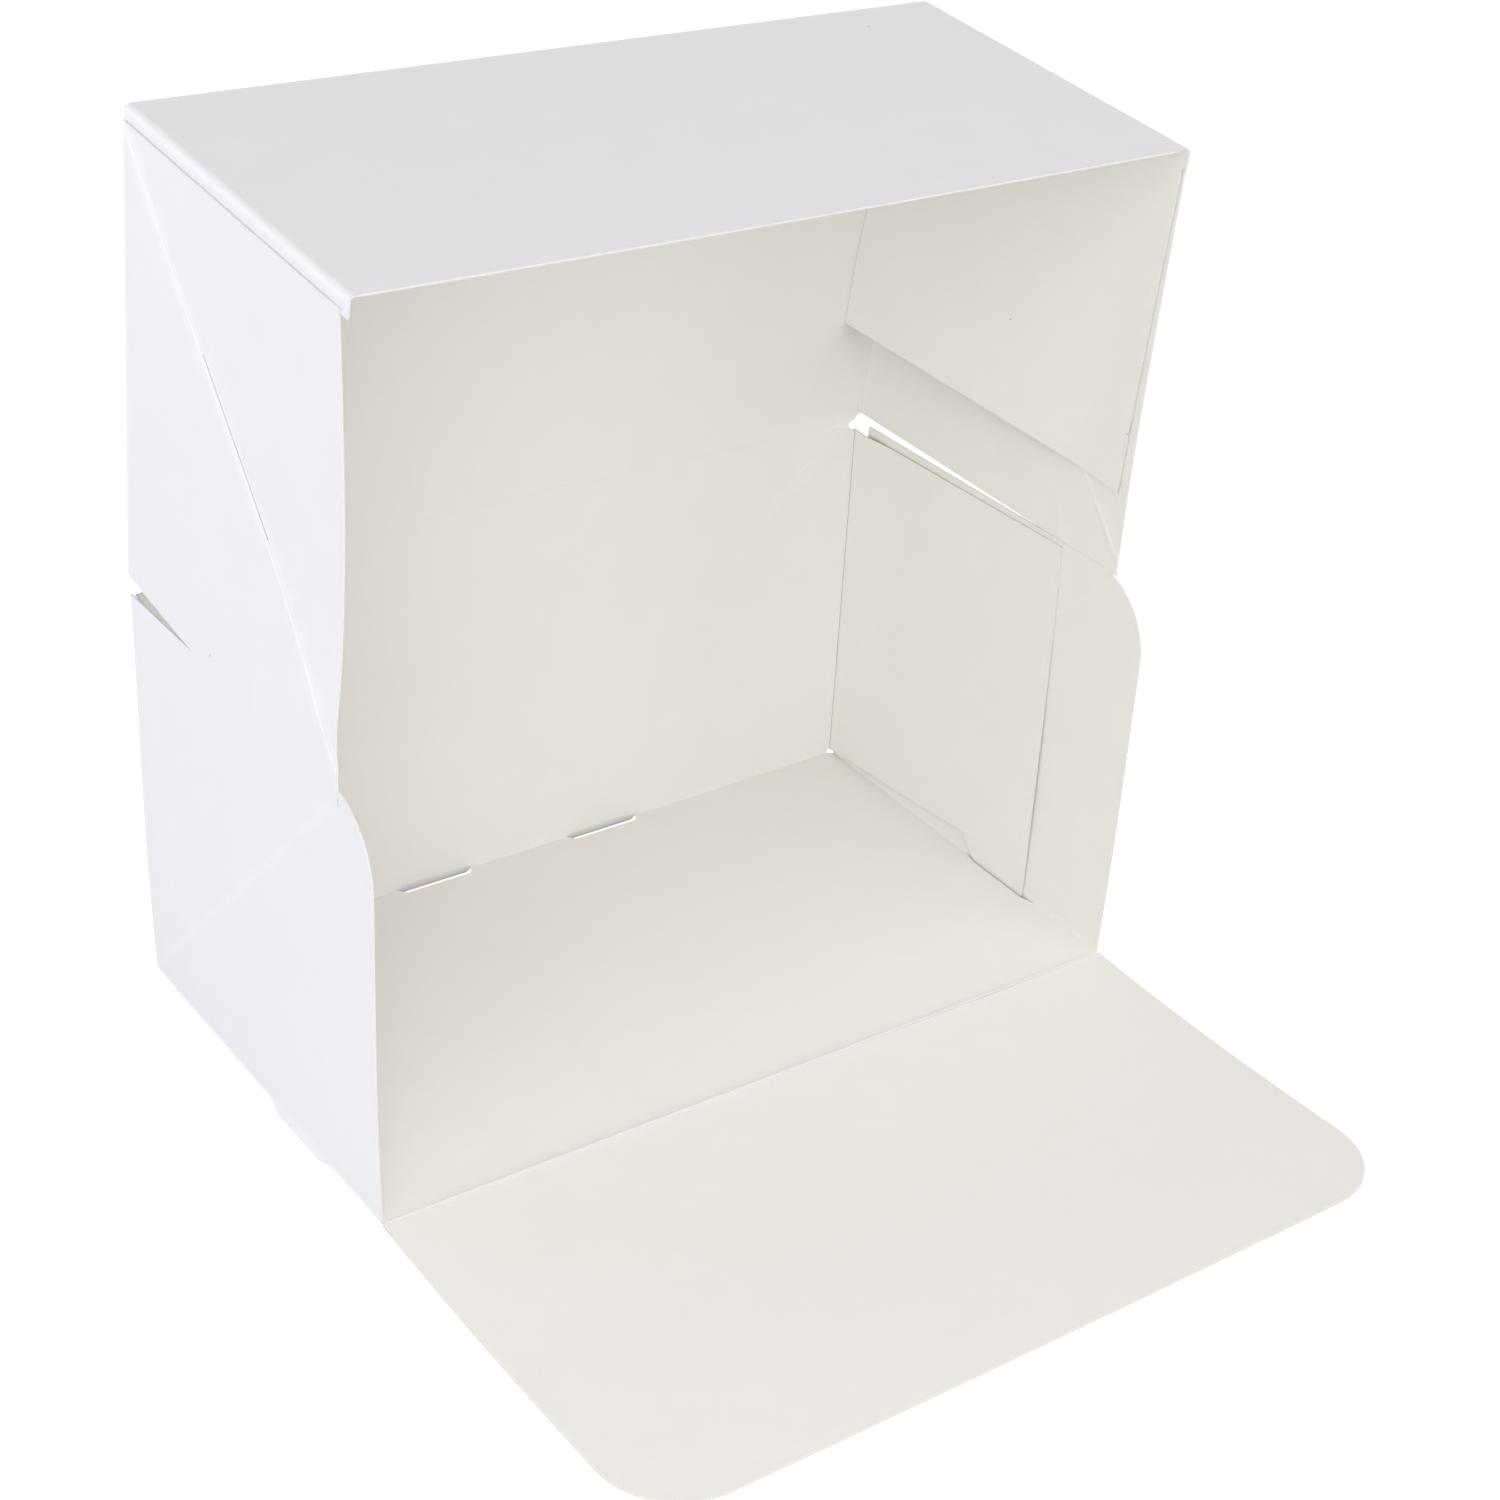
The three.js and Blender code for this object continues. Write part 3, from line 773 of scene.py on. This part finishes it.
X, Y, Z = Vector((1, 0, 0)), Vector((0, 1, 0)), Vector((0, 0, 1))
SIDES = (("left", -1), ("right", 1))


# Tray

def lock_places():
    """Where the side lock and the two back locks lie, along the tray."""
    sizes = setting("box_tray")
    front = front_axis.y + sizes.side_lock_front
    back = [
        (side * sizes.back_lock_offset - sizes.back_lock_length / 2,
         side * sizes.back_lock_offset + sizes.back_lock_length / 2)
        for side in (-1, 1)
    ]
    return (front, front + sizes.side_lock_length), back


def slot_points(low, high, edge, depth, chamfer):
    """Outline of a slot in the base's edge, along the slot and into the panel."""
    start = setting("box_sheet").fold_radius
    inset = chamfer * start / depth
    return [(low + inset, edge), (low + chamfer, edge - depth + start),
            (high - chamfer, edge - depth + start), (high - inset, edge)]


def lip_points(low, high, chamfer, reach):
    """Outline of a lip below the fold line of a wall, with the knife cuts at its ends."""
    sheet = setting("box_sheet")
    foot = board - reach
    start = sheet.fold_radius
    root = root_end(start)
    return [
        (low - sheet.slit, root), (low - sheet.slit, start), (low, start), (low, board),
        (low + chamfer, foot), (high - chamfer, foot),
        (high, board), (high, start), (high + sheet.slit, start), (high + sheet.slit, root),
    ]


def base_sheet():
    sizes = setting("box_tray")
    side_lock, back_locks = lock_places()
    edge, back = base_high.x, base_high.y
    side = slot_points(*side_lock, edge, sizes.side_slot, sizes.side_lock_chamfer)
    points = [(-edge, base_low.y), (edge, base_low.y)]
    points += [(x, y) for y, x in side]
    points += arc((edge, back), sizes.foot_relief, -90, -180)
    for low, high in reversed(back_locks):
        points += reversed(slot_points(low, high, back, sizes.lock_depth, sizes.back_lock_chamfer))
    points += arc((-edge, back), sizes.foot_relief, 0, -90)
    points += [(-x, y) for y, x in reversed(side)]
    return blank(points)


class BOX_OT_base(Operator):
    """Cut the base panel with its four lock slots"""
    bl_idname = "pastry_box.base"
    bl_label = "Base panel"

    def execute(self, context):
        sizes, warps = context.scene.box_sheet, context.scene.box_warps
        sheet = base_sheet()
        gridded(sheet, sizes.cell)
        thickened(sheet)
        middle = (base_low.y + base_high.y) / 2

        def rise(x, y):
            along = math.cos(math.pi * x / (2 * base_high.x))
            across = math.cos(math.pi * (y - middle) / (base_high.y - base_low.y))
            return along * across * (warps.base + sizes.ripple * uneven(x, y, 1))

        bent(sheet, rise)
        stood(sheet, (X, Y, Z), (0, 0, base_low.z + board / 2))
        settled(sheet)
        carried(as_piece(sheet, "base_board"), "tray", "inside_board", "base_panel")
        return {"FINISHED"}


class BOX_OT_back_wall(Operator):
    """Cut and fold the back wall with its two lips"""
    bl_idname = "pastry_box.back_wall"
    bl_label = "Back wall"

    def execute(self, context):
        sheet_sizes, tray, warps = context.scene.box_sheet, context.scene.box_tray, context.scene.box_warps
        locks = lock_places()[1]
        start = sheet_sizes.fold_radius
        edge, top = flap_low.x + board - start, back_high.z
        points = []
        for low, high in locks:
            points += lip_points(low, high, tray.back_lock_chamfer, tray.back_lip)
        points += [(edge - tray.foot_relief, root_end(start))]
        points += arc((edge, start), tray.foot_relief, 180, 90)
        points += arc((edge, top), tray.hinge_relief, -90, -180)
        points += arc((-edge, top), tray.hinge_relief, 0, -90)
        points += arc((-edge, start), tray.foot_relief, 90, 0)
        points += [(tray.foot_relief - edge, root_end(start))]
        sheet = blank(points)
        root_lines(sheet, start)
        gridded(sheet, sheet_sizes.cell)
        buckle_way, buckle_length = (-0.81, -0.58), 0.045
        # The buckle is pressed in, with a painted highlight along it.
        press(sheet, (edge, top), buckle_way, sheet_sizes.buckle_width, sheet_sizes.buckle_depth,
              strength=0.7, soft_over=buckle_length)
        thickened(sheet)

        def swell(x, y):
            share = max(0.0, y - start) / (top - start)
            across = math.cos(math.pi * x / (2 * edge))
            shape = math.sin(math.pi * share) * across
            return shape * (warps.back_wall + sheet_sizes.ripple * uneven(x, y, 2))

        bent(sheet, swell)
        beaded_root(sheet, start)
        folded(sheet, start, kept=locks)
        stood(sheet, (X, Z, -Y), (0, back_high.y - board / 2, 0))
        settled(sheet)
        carried(as_piece(sheet, "back_board"), "tray", "inside_board", "back_wall")
        return {"FINISHED"}


def side_wall_sheet(side):
    sheet_sizes, tray = setting("box_sheet"), setting("box_tray")
    side_lock = lock_places()[0]
    start = sheet_sizes.fold_radius
    radius = tray.corner_radius
    front, top = wall_low.y, lid_axis.z - tray.side_top[side > 0]
    shoulder = lid_axis.z - tray.side_shoulder
    points = [(front, root_end(start))]
    points += lip_points(*side_lock, tray.side_lock_chamfer, tray.lock_depth)
    points += [
        (back_high.y - tray.side_foot_rear, root_end(start)),
        (back_high.y - tray.side_rear[side > 0], top),
    ]
    points += arc((front + radius, shoulder - radius), radius, 90, 180)
    sheet = blank([(-side * y, z) for y, z in points])
    root_lines(sheet, start)
    gridded(sheet, sheet_sizes.cell)
    corner = (-side * base_high.y, start)
    # A diagonal crease, with a faint painted highlight along it.
    press(sheet, corner, (side, 1), sheet_sizes.crease_width, sheet_sizes.crease_depth, strength=0.35)
    thickened(sheet)

    def swell(x, y):
        share = max(0.0, y - start) / (top - start)
        return -math.sin(math.pi * share) * sheet_sizes.ripple * abs(uneven(x, y, 3 + side))

    bent(sheet, swell)
    beaded_root(sheet, start)
    folded(sheet, start, kept=[tuple(sorted(-side * y for y in side_lock))])
    stood(sheet, (-side * Y, Z, -side * X), (side * (wall_high.x - board / 2), 0, 0))
    warps = setting("box_warps")
    settled(sheet, warps.side_wall, warps.side_wall_share, rear_held=False)
    return sheet


class BOX_OT_side_walls(Operator):
    """Cut and fold the tray's two side walls with their rounded corners"""
    bl_idname = "pastry_box.side_walls"
    bl_label = "Side walls"

    def execute(self, context):
        for word, side in SIDES:
            piece = as_piece(side_wall_sheet(side), f"{word}_side_board")
            carried(piece, "tray", "outside_board", f"{word}_side_wall")
            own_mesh(piece)
        return {"FINISHED"}


def inner_flap_sheet(side):
    sheet_sizes, tray = setting("box_sheet"), setting("box_tray")
    fold_line = back_high.y
    lock_front = front_axis.y + tray.side_lock_front
    tab_front = lock_front + tray.tab_setback
    tab_rear = tab_front + tray.tab_length
    foot = flap_low.z
    top = wall_high.z - tray.flap_top_inset
    root = root_end(0)
    places = [
        (tray.flap_foot_rear, root),
        (tray.flap_foot_rear, 0),
        (tray.flap_foot_front, fold_line - tab_rear - tray.tab_shoulder),
        (foot, fold_line - tab_rear),
        (foot, fold_line - tab_front),
        (top - tray.flap_top_fall, fold_line - tab_front - tray.flap_front_lean),
        (top, tray.flap_corner),
        (flap_high.z, 0),
        (flap_high.z, root),
    ]
    sheet = blank([(-side * z, y) for z, y in places])
    root_lines(sheet, 0)
    gridded(sheet, sheet_sizes.cell)
    thickened(sheet)
    stiff = 0.03  # how far from its fold the flap stays straight
    bent(sheet, lambda x, y: sheet_sizes.ripple * smooth(y / stiff) * abs(uneven(x, y, 5 + side)))
    beaded_root(sheet, 0)
    folded(sheet, 0)
    stood(sheet, (-side * Z, -Y, -side * X), (side * (flap_low.x + board / 2), fold_line, 0))
    warps = setting("box_warps")
    settled(sheet, warps.inner_flap, warps.inner_flap_share)
    return sheet


class BOX_OT_inner_flaps(Operator):
    """Cut and fold the two inner flaps with their tabs"""
    bl_idname = "pastry_box.inner_flaps"
    bl_label = "Inner flaps"

    def execute(self, context):
        for word, side in SIDES:
            piece = as_piece(inner_flap_sheet(side), f"{word}_flap_board")
            carried(piece, "tray", "inside_board", f"{word}_inner_flap")
            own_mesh(piece)
        return {"FINISHED"}


class BOX_OT_drop_front(Operator):
    """Cut the front wall with its two rounded corners"""
    bl_idname = "pastry_box.drop_front"
    bl_label = "Drop front"

    def execute(self, context):
        sheet_sizes, tray, warps = context.scene.box_sheet, context.scene.box_tray, context.scene.box_warps
        edge, near, far = drop_high.x, drop_high.y, drop_low.y
        radius = tray.corner_radius
        points = [(edge, near), (-edge, near)]
        points += arc((radius - edge, far + radius), radius, 180, 270)
        points += arc((edge - radius, far + radius), radius, 270, 360)
        sheet = blank(points)
        rimmed(sheet, sheet_sizes.rim, near)
        gridded(sheet, sheet_sizes.cell)
        thickened(sheet)

        def lift(x, y):
            share = min(1.0, max(0.0, (near - y) / (near - far)))
            sag = -warps.front_sag * math.sin(math.pi * share ** 0.8)
            curl = warps.front_curl * share ** 2 * (x / edge) ** 2
            even = sheet_sizes.ripple * math.sin(math.pi * share) * abs(uneven(x, y, 9))
            above_table = front_axis.z - board / 2 - cad_low.z
            return max(sag, above_table * (share - 1)) + curl + even

        bent(sheet, lift)
        stood(sheet, (X, Y, Z), (0, 0, 0), front_frame)
        settled(sheet)
        piece = as_piece(sheet, "front_board")
        carried(piece, "drop_front", "inside_board", "front_wall")
        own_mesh(piece)
        return {"FINISHED"}


# The two creases that turn

def crease_strip(name, columns, origin, half_width, lean, bodies, node_name):
    """A strip of board with its bead, which bends between two bodies and fills the gap between them."""
    sizes = setting("box_sheet")
    low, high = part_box(node_name)
    reach = (high.z - low.z) * 0.75
    sheet = blank([(-half_width, -reach), (half_width, -reach), (half_width, reach), (-half_width, reach)])
    for i in range(1, STRIP_STEPS):
        cut_line(sheet, (0, reach * (2 * i / STRIP_STEPS - 1)), (0, 1))
    # A faint painted highlight along the middle of the strip.
    crease = sheet.verts.layers.float["crease"]
    for vert in sheet.verts:
        vert[crease] = STRIP_HIGHLIGHT * math.cos(math.pi / 2 * vert.co.y / reach)
    thickened(sheet)
    for vert in sheet.verts:
        hump = math.cos(math.pi / 2 * vert.co.y / reach) ** 2
        vert.co.z += hump * (sizes.bead_height if vert.co.z > 0 else sizes.bead_height / 2)
        if vert.co.y > 0:
            turned = Matrix.Rotation(lean * smooth(vert.co.y / reach), 3, "X")
            vert.co = turned @ vert.co
    stood(sheet, columns, origin)
    settled(sheet)
    piece = as_piece(sheet, name)
    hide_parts(node_name)
    along = Vector(columns[1]) * reach
    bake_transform(piece, *bodies, start=origin - along, end=origin + along)


class BOX_OT_creases(Operator):
    """Press the two creases that open and close"""
    bl_idname = "pastry_box.creases"
    bl_label = "Turning creases"

    def execute(self, context):
        relief = context.scene.box_tray.hinge_relief
        crease_strip("lid_crease_strip", (X, Z, -Y), lid_axis, back_high.x - relief, lid_lean,
                     ("tray", "lid"), "lid_crease_bead")
        crease_strip("front_crease_strip", (-X, -Y, Z), front_axis, base_high.x, -front_droop,
                     ("tray", "drop_front"), "front_crease_bead")
        return {"FINISHED"}


# Lid

class BOX_OT_lid_panel(Operator):
    """Cut the lid panel, which stands up behind the open box"""
    bl_idname = "pastry_box.lid_panel"
    bl_label = "Lid panel"

    def execute(self, context):
        sheet_sizes, tray, warps = context.scene.box_sheet, context.scene.box_tray, context.scene.box_warps
        edge, low, high = panel_high.x, panel_low.z, top_high.z - sheet_sizes.fold_radius
        points = arc((edge, low), tray.hinge_relief, 180, 90)
        points += [(edge, high), (-edge, high)]
        points += arc((-edge, low), tray.hinge_relief, 90, 0)
        sheet = blank(points)
        gridded(sheet, sheet_sizes.cell)
        thickened(sheet)

        def swell(x, y):
            shape = math.sin(math.pi * (y - low) / (high - low)) * math.cos(math.pi * x / (2 * edge))
            return shape * (warps.lid_panel + sheet_sizes.ripple * uneven(x, y, 11))

        bent(sheet, swell)
        stood(sheet, (X, Z, -Y), (0, 0, 0), lid_frame)
        carried(as_piece(sheet, "lid_board"), "lid", "inside_board", "lid_panel")
        return {"FINISHED"}


class BOX_OT_lid_front(Operator):
    """Cut and fold the lid's front wall"""
    bl_idname = "pastry_box.lid_front"
    bl_label = "Lid front"

    def execute(self, context):
        sheet_sizes, warps = context.scene.box_sheet, context.scene.box_warps
        start = sheet_sizes.fold_radius
        edge, depth = corner_high.x - sheet_sizes.lid_fold_radius, top_high.y - top_low.y
        root = root_end(start)
        sheet = blank([(-edge, root), (edge, root), (edge, depth), (-edge, depth)])
        root_lines(sheet, start)
        gridded(sheet, sheet_sizes.cell)
        thickened(sheet)

        def sag(x, y):
            share = max(0.0, y - start) / (depth - start)
            return math.cos(math.pi * x / (2 * edge)) * smooth(share) * warps.lid_front

        bent(sheet, sag)
        beaded_root(sheet, start)
        folded(sheet, start)
        stood(sheet, (X, -Y, -Z), (0, top_high.y, top_high.z - board / 2), lid_frame)
        carried(as_piece(sheet, "lid_front_board"), "lid", "outside_board", "lid_front_wall")
        return {"FINISHED"}


def lid_side_bow(side, height, distance):
    """How far a lid side and what is glued to it bow inwards at a place: height up, distance forward."""
    warps = setting("box_warps")
    share = (height - warps.lid_side_foot) / (lid_side_high.z - warps.lid_side_foot)
    up = math.sin(math.pi * min(1.0, max(0.0, share)) ** 0.7)
    return warps.lid_side[side > 0] * up * smooth(distance / (top_high.y - top_low.y))


def lid_side_sheet(side):
    sheet_sizes, lid = setting("box_sheet"), setting("box_lid")
    right = side > 0
    start = sheet_sizes.fold_radius
    root = root_end(start)
    low, high = lid.side_root[right], lid_side_high.z
    depth = top_high.y - top_low.y
    places = [
        (low, root), (low, start), (lid.side_middle_rise[right], lid.side_middle[right]),
        (lid.side_tip_rise[right], lid.side_tip[right]), (lid.side_flare[right], lid.side_flare_reach[right]),
        (high, depth - lid.side_inset[right]), (high, root),
    ]
    sheet = blank([(-side * u, f) for u, f in places])
    root_lines(sheet, start)
    gridded(sheet, sheet_sizes.cell)
    corner, diagonal = (-side * high, start), (side, 1)
    # The diagonal crease, with a painted highlight along it.
    press(sheet, corner, diagonal, sheet_sizes.lid_crease_width, sheet_sizes.lid_crease_depth)
    if right:
        # A short pressed line with a painted highlight along it.
        short_line_place, short_line_way = (-0.0138, 0.0748), (0.45, 0.2)
        press(sheet, short_line_place, short_line_way, width=0.0012, depth=0.0001, strength=0.6, soft_over=0.009)
    else:
        reach = [(place - start) * math.sqrt(2) for place in (lid.cut_start, lid.cut_end)]
        cut_through(sheet, corner, diagonal, lid.cut_width, *reach)
    thickened(sheet)
    bent(sheet, lambda x, y: lid_side_bow(side, -side * x, y))
    beaded_root(sheet, start)
    folded(sheet, start)
    origin = (side * (lid_side_high.x - board / 2), top_high.y, 0)
    stood(sheet, (-side * Z, -Y, -side * X), origin, lid_frame)
    return sheet


class BOX_OT_lid_sides(Operator):
    """Cut and fold the lid's two sides with their diagonal creases"""
    bl_idname = "pastry_box.lid_sides"
    bl_label = "Lid sides"

    def execute(self, context):
        for word, side in SIDES:
            piece = as_piece(lid_side_sheet(side), f"{word}_lid_side_board")
            carried(piece, "lid", "outside_board", f"{word}_lid_side_rear", f"{word}_lid_side_front")
            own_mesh(piece)
        return {"FINISHED"}


def corner_flap_sheet(side, is_rim):
    """A corner flap's rim, which is its fold and what shows above the lid side, or the flap below it."""
    sheet_sizes, lid, warps = setting("box_sheet"), setting("box_lid"), setting("box_warps")
    start = sheet_sizes.lid_fold_radius
    root = root_end(start, start)
    depth = top_high.y - top_low.y
    rear = top_high.y - corner_high.y
    free_end = corner_high.z - corner_low.z
    covered = corner_high.z - lid_side_high.z
    rim = lid.flap_rim[side > 0]
    long_edge = depth - lid.flap_inset[side > 0]
    nick = free_end - lid.nick_offset
    lean = lid.flap_lean[side > 0]
    nicked = long_edge + lean * nick / free_end
    touch_end, touch_fade = 0.005, 0.004  # how far down the rim lies against the lid side, and fades from it
    places = [
        (rear, root), (rear, free_end), (long_edge + lean, free_end + lid.flap_slant),
        (nicked, nick + lid.nick), (nicked - lid.nick, nick), (nicked, nick),
        (long_edge, rim), (depth, rim), (depth, root),
    ]
    sheet = blank([(-side * f, down) for f, down in places])
    root_lines(sheet, start, start)
    gridded(sheet, sheet_sizes.cell)
    cut_line(sheet, (0, covered), (0, 1))
    other = [face for face in sheet.faces if (face.calc_center_median().y > covered) == is_rim]
    bmesh.ops.delete(sheet, geom=other, context="FACES")
    thickened(sheet)

    def inwards(x, y):
        distance, down = -side * x, max(0.0, y - start)
        bow = lid_side_bow(side, corner_high.z - y, distance)
        loose = max(0.0, 1 - distance / lid.flap_held)
        swung = 1 - (1 - min(1.0, max(0.0, y - covered) / (free_end - covered))) ** 2
        against = smooth((y - root) / (start - root)) * (1 - smooth((down - touch_end) / touch_fade))
        return bow + warps.corner_flap * loose * swung - warps.corner_flap_rim * against

    bent(sheet, inwards)
    beaded_root(sheet, start)
    folded(sheet, start, radius=start)
    origin = (side * (corner_high.x - board / 2), top_high.y, corner_high.z)
    stood(sheet, (side * Y, -Z, -side * X), origin, lid_frame)
    return sheet


class BOX_OT_corner_flaps(Operator):
    """Cut and fold the two corner flaps, with their rims, that are glued behind the lid's sides"""
    bl_idname = "pastry_box.corner_flaps"
    bl_label = "Corner flaps"

    def execute(self, context):
        for word, side in SIDES:
            rim = as_piece(corner_flap_sheet(side, True), f"{word}_corner_rim")
            carried(rim, "lid", "inside_board", f"{word}_corner_flap")
            flap = as_piece(corner_flap_sheet(side, False), f"{word}_corner_board")
            carried(flap, "lid", "inside_board", f"{word}_corner_flap")
            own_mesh(flap)
        return {"FINISHED"}


def glue_sheet(word, side):
    """A film of glue with round corners, cut off along the diagonal, between a lid side and its flap."""
    low, high = box_in(lid_frame, f"{word}_glue_run")
    near, far = top_high.y - high.y, top_high.y - low.y
    width = far - near
    radius = width / 4
    turns = (0.2, 0.8, 1.4)  # angles round the corner where the film runs out, in radians
    places = [(low.z + width, near)]
    places += [
        (low.z + radius * (1 - math.cos(turned)), far - radius * (1 - math.sin(turned))) for turned in turns]
    places += arc((high.z - radius, far - radius), radius, 90, 0)
    places += arc((high.z - radius, near + radius), radius, 0, -90)
    sheet = blank([(-side * u, f) for u, f in places])
    gridded(sheet, setting("box_sheet").cell)
    extruded(sheet, high.x - low.x)
    bent(sheet, lambda x, y: lid_side_bow(side, -side * x, y))
    stood(sheet, (-side * Z, -Y, -side * X), ((low.x + high.x) / 2, top_high.y, 0), lid_frame)
    return sheet


class BOX_OT_glue(Operator):
    """Lay the two films of glue"""
    bl_idname = "pastry_box.glue"
    bl_label = "Glue"

    def execute(self, context):
        finish = glue_material()
        for word, side in SIDES:
            piece = as_piece(glue_sheet(word, side), f"{word}_glue_film", [finish])
            carried(piece, "lid", "dried_glue", f"{word}_glue_run")
            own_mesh(piece)
        return {"FINISHED"}


# Studio

def directed(azimuth, elevation):
    """Direction from the box, by the angle round it from the open front and the angle up, in degrees."""
    round_it, up = math.radians(azimuth), math.radians(elevation)
    return Vector((math.cos(up) * math.sin(round_it), -math.cos(up) * math.cos(round_it), math.sin(up)))


def area_lamp(name, place, target, size, watts, tint):
    lamp = bpy.data.lights.new(name, "AREA")
    lamp.shape = "RECTANGLE"
    lamp.size, lamp.size_y = size
    lamp.energy = watts
    lamp.color = tint
    holder = bpy.data.objects.new(name, lamp)
    holder.location = place
    holder.rotation_euler = (Vector(target) - Vector(place)).to_track_quat("-Z", "Y").to_euler()
    bpy.context.scene.collection.objects.link(holder)


def seen_directly(tree):
    """1 where the camera, a reflection or a see-through part looks at this, and 0 for the light it gives."""
    link = tree.links.new
    path = tree.nodes.new("ShaderNodeLightPath")
    first = node(tree, "ShaderNodeMath", "MAXIMUM")
    link(path.outputs["Is Camera Ray"], first.inputs[0])
    link(path.outputs["Is Glossy Ray"], first.inputs[1])
    both = node(tree, "ShaderNodeMath", "MAXIMUM")
    link(first.outputs[0], both.inputs[0])
    link(path.outputs["Is Transmission Ray"], both.inputs[1])
    return both.outputs[0]


def floor_material(glow):
    made = bpy.data.materials.new("studio_floor")
    made.use_nodes = True
    tree = made.node_tree
    tree.nodes.clear()
    link = tree.links.new
    matt = node(tree, "ShaderNodeBsdfDiffuse", Color=(0.8, 0.8, 0.8, 1))
    light = node(tree, "ShaderNodeEmission", Color=(1, 1, 1, 1), Strength=glow)
    lifted = tree.nodes.new("ShaderNodeAddShader")
    link(matt.outputs[0], lifted.inputs[0])
    link(light.outputs[0], lifted.inputs[1])
    choice = tree.nodes.new("ShaderNodeMixShader")
    link(seen_directly(tree), choice.inputs[0])
    link(matt.outputs[0], choice.inputs[1])
    link(lifted.outputs[0], choice.inputs[2])
    result = tree.nodes.new("ShaderNodeOutputMaterial")
    link(choice.outputs[0], result.inputs["Surface"])
    return made


def light_world(strength, tint):
    world = bpy.data.worlds.new("studio_light")
    world.use_nodes = True
    tree = world.node_tree
    tree.nodes.clear()
    link = tree.links.new
    sky = node(tree, "ShaderNodeBackground", Color=(*tint, 1), Strength=strength)
    white = node(tree, "ShaderNodeBackground", Color=(1, 1, 1, 1), Strength=1.0)
    choice = tree.nodes.new("ShaderNodeMixShader")
    link(seen_directly(tree), choice.inputs[0])
    link(sky.outputs[0], choice.inputs[1])
    link(white.outputs[0], choice.inputs[2])
    result = tree.nodes.new("ShaderNodeOutputWorld")
    link(choice.outputs[0], result.inputs["Surface"])
    bpy.context.scene.world = world


class BOX_OT_stage(Operator):
    """Lay the floor and set the lamps, the even light and the camera"""
    bl_idname = "pastry_box.stage"
    bl_label = "Studio"

    def execute(self, context):
        studio = context.scene.box_studio
        floor_reach = 6
        floor_sheet = bmesh.new()
        bmesh.ops.create_grid(floor_sheet, x_segments=1, y_segments=1, size=floor_reach)
        mesh = bpy.data.meshes.new("studio_floor")
        floor_sheet.to_mesh(mesh)
        floor_sheet.free()
        mesh.materials.append(floor_material(studio.floor_glow))
        floor = bpy.data.objects.new("studio_floor", mesh)
        floor.location.z = cad_low.z
        context.scene.collection.objects.link(floor)
        light_world(studio.sky, studio.sky_tint)
        middle = Vector((0, 0, lid_axis.z))
        large = (
            ("key", -22.5, 40, studio.key, studio.key_tint),
            ("top", 0, 70, studio.top, studio.top_tint),
        )
        for name, azimuth, elevation, watts, tint in large:
            place = middle + directed(azimuth, elevation) * studio.large_distance
            area_lamp(name, place, middle, (studio.large_size, studio.large_size), watts, tint)
        fills = (
            ("left_fill", -45, studio.left_fill, studio.left_tint),
            ("right_fill", 45, studio.right_fill, studio.right_tint),
            ("rear_fill", -135, studio.rear_fill, studio.rear_tint),
        )
        tray_middle = middle * 0.6
        for name, azimuth, watts, tint in fills:
            place = directed(azimuth, 0) * studio.fill_distance + Vector((0, 0, studio.fill_level))
            area_lamp(name, place, tray_middle, (studio.fill_width, studio.fill_height), watts, tint)
        camera = bpy.data.cameras.new("studio_camera")
        camera.lens = studio.camera_lens
        camera.clip_start, camera.clip_end = 0.01, 100
        holder = bpy.data.objects.new("studio_camera", camera)
        facing = (Matrix.Rotation(studio.camera_azimuth, 4, "Z")
                  @ Matrix.Rotation(math.pi / 2 - studio.camera_elevation, 4, "X")
                  @ Matrix.Rotation(studio.camera_roll, 4, "Z"))
        holder.matrix_world = Matrix.Translation(studio.camera_place) @ facing
        context.scene.collection.objects.link(holder)
        context.scene.camera = holder
        context.scene.view_settings.view_transform = "Standard"
        return {"FINISHED"}


class BOX_PT_sidebar(Panel):
    """The box's steps and settings"""
    bl_idname = "BOX_PT_sidebar"
    bl_label = "Pastry Box"
    bl_space_type = "VIEW_3D"
    bl_region_type = "UI"
    bl_category = "Pastry Box"

    def draw(self, context):
        layout = self.layout
        for step in STEPS:
            layout.operator(step.bl_idname)
        for name, group in SETTINGS.items():
            box = layout.box()
            box.label(text=group.__name__)
            for key in group.__annotations__:
                box.prop(getattr(context.scene, name), key)


STEPS = (
    BOX_OT_stage, BOX_OT_base, BOX_OT_back_wall, BOX_OT_side_walls, BOX_OT_inner_flaps, BOX_OT_drop_front,
    BOX_OT_creases, BOX_OT_lid_panel, BOX_OT_lid_front, BOX_OT_lid_sides, BOX_OT_corner_flaps, BOX_OT_glue,
)


def register():
    for item in (*SETTINGS.values(), *STEPS, BOX_PT_sidebar):
        bpy.utils.register_class(item)
    for name, group in SETTINGS.items():
        setattr(bpy.types.Scene, name, PointerProperty(type=group))


def unregister():
    for name in SETTINGS:
        delattr(bpy.types.Scene, name)
    for item in reversed((*SETTINGS.values(), *STEPS, BOX_PT_sidebar)):
        bpy.utils.unregister_class(item)


def main():
    register()
    for step in STEPS:
        family, action = step.bl_idname.split(".")
        getattr(getattr(bpy.ops, family), action)()


if __name__ == "__main__":
    main()
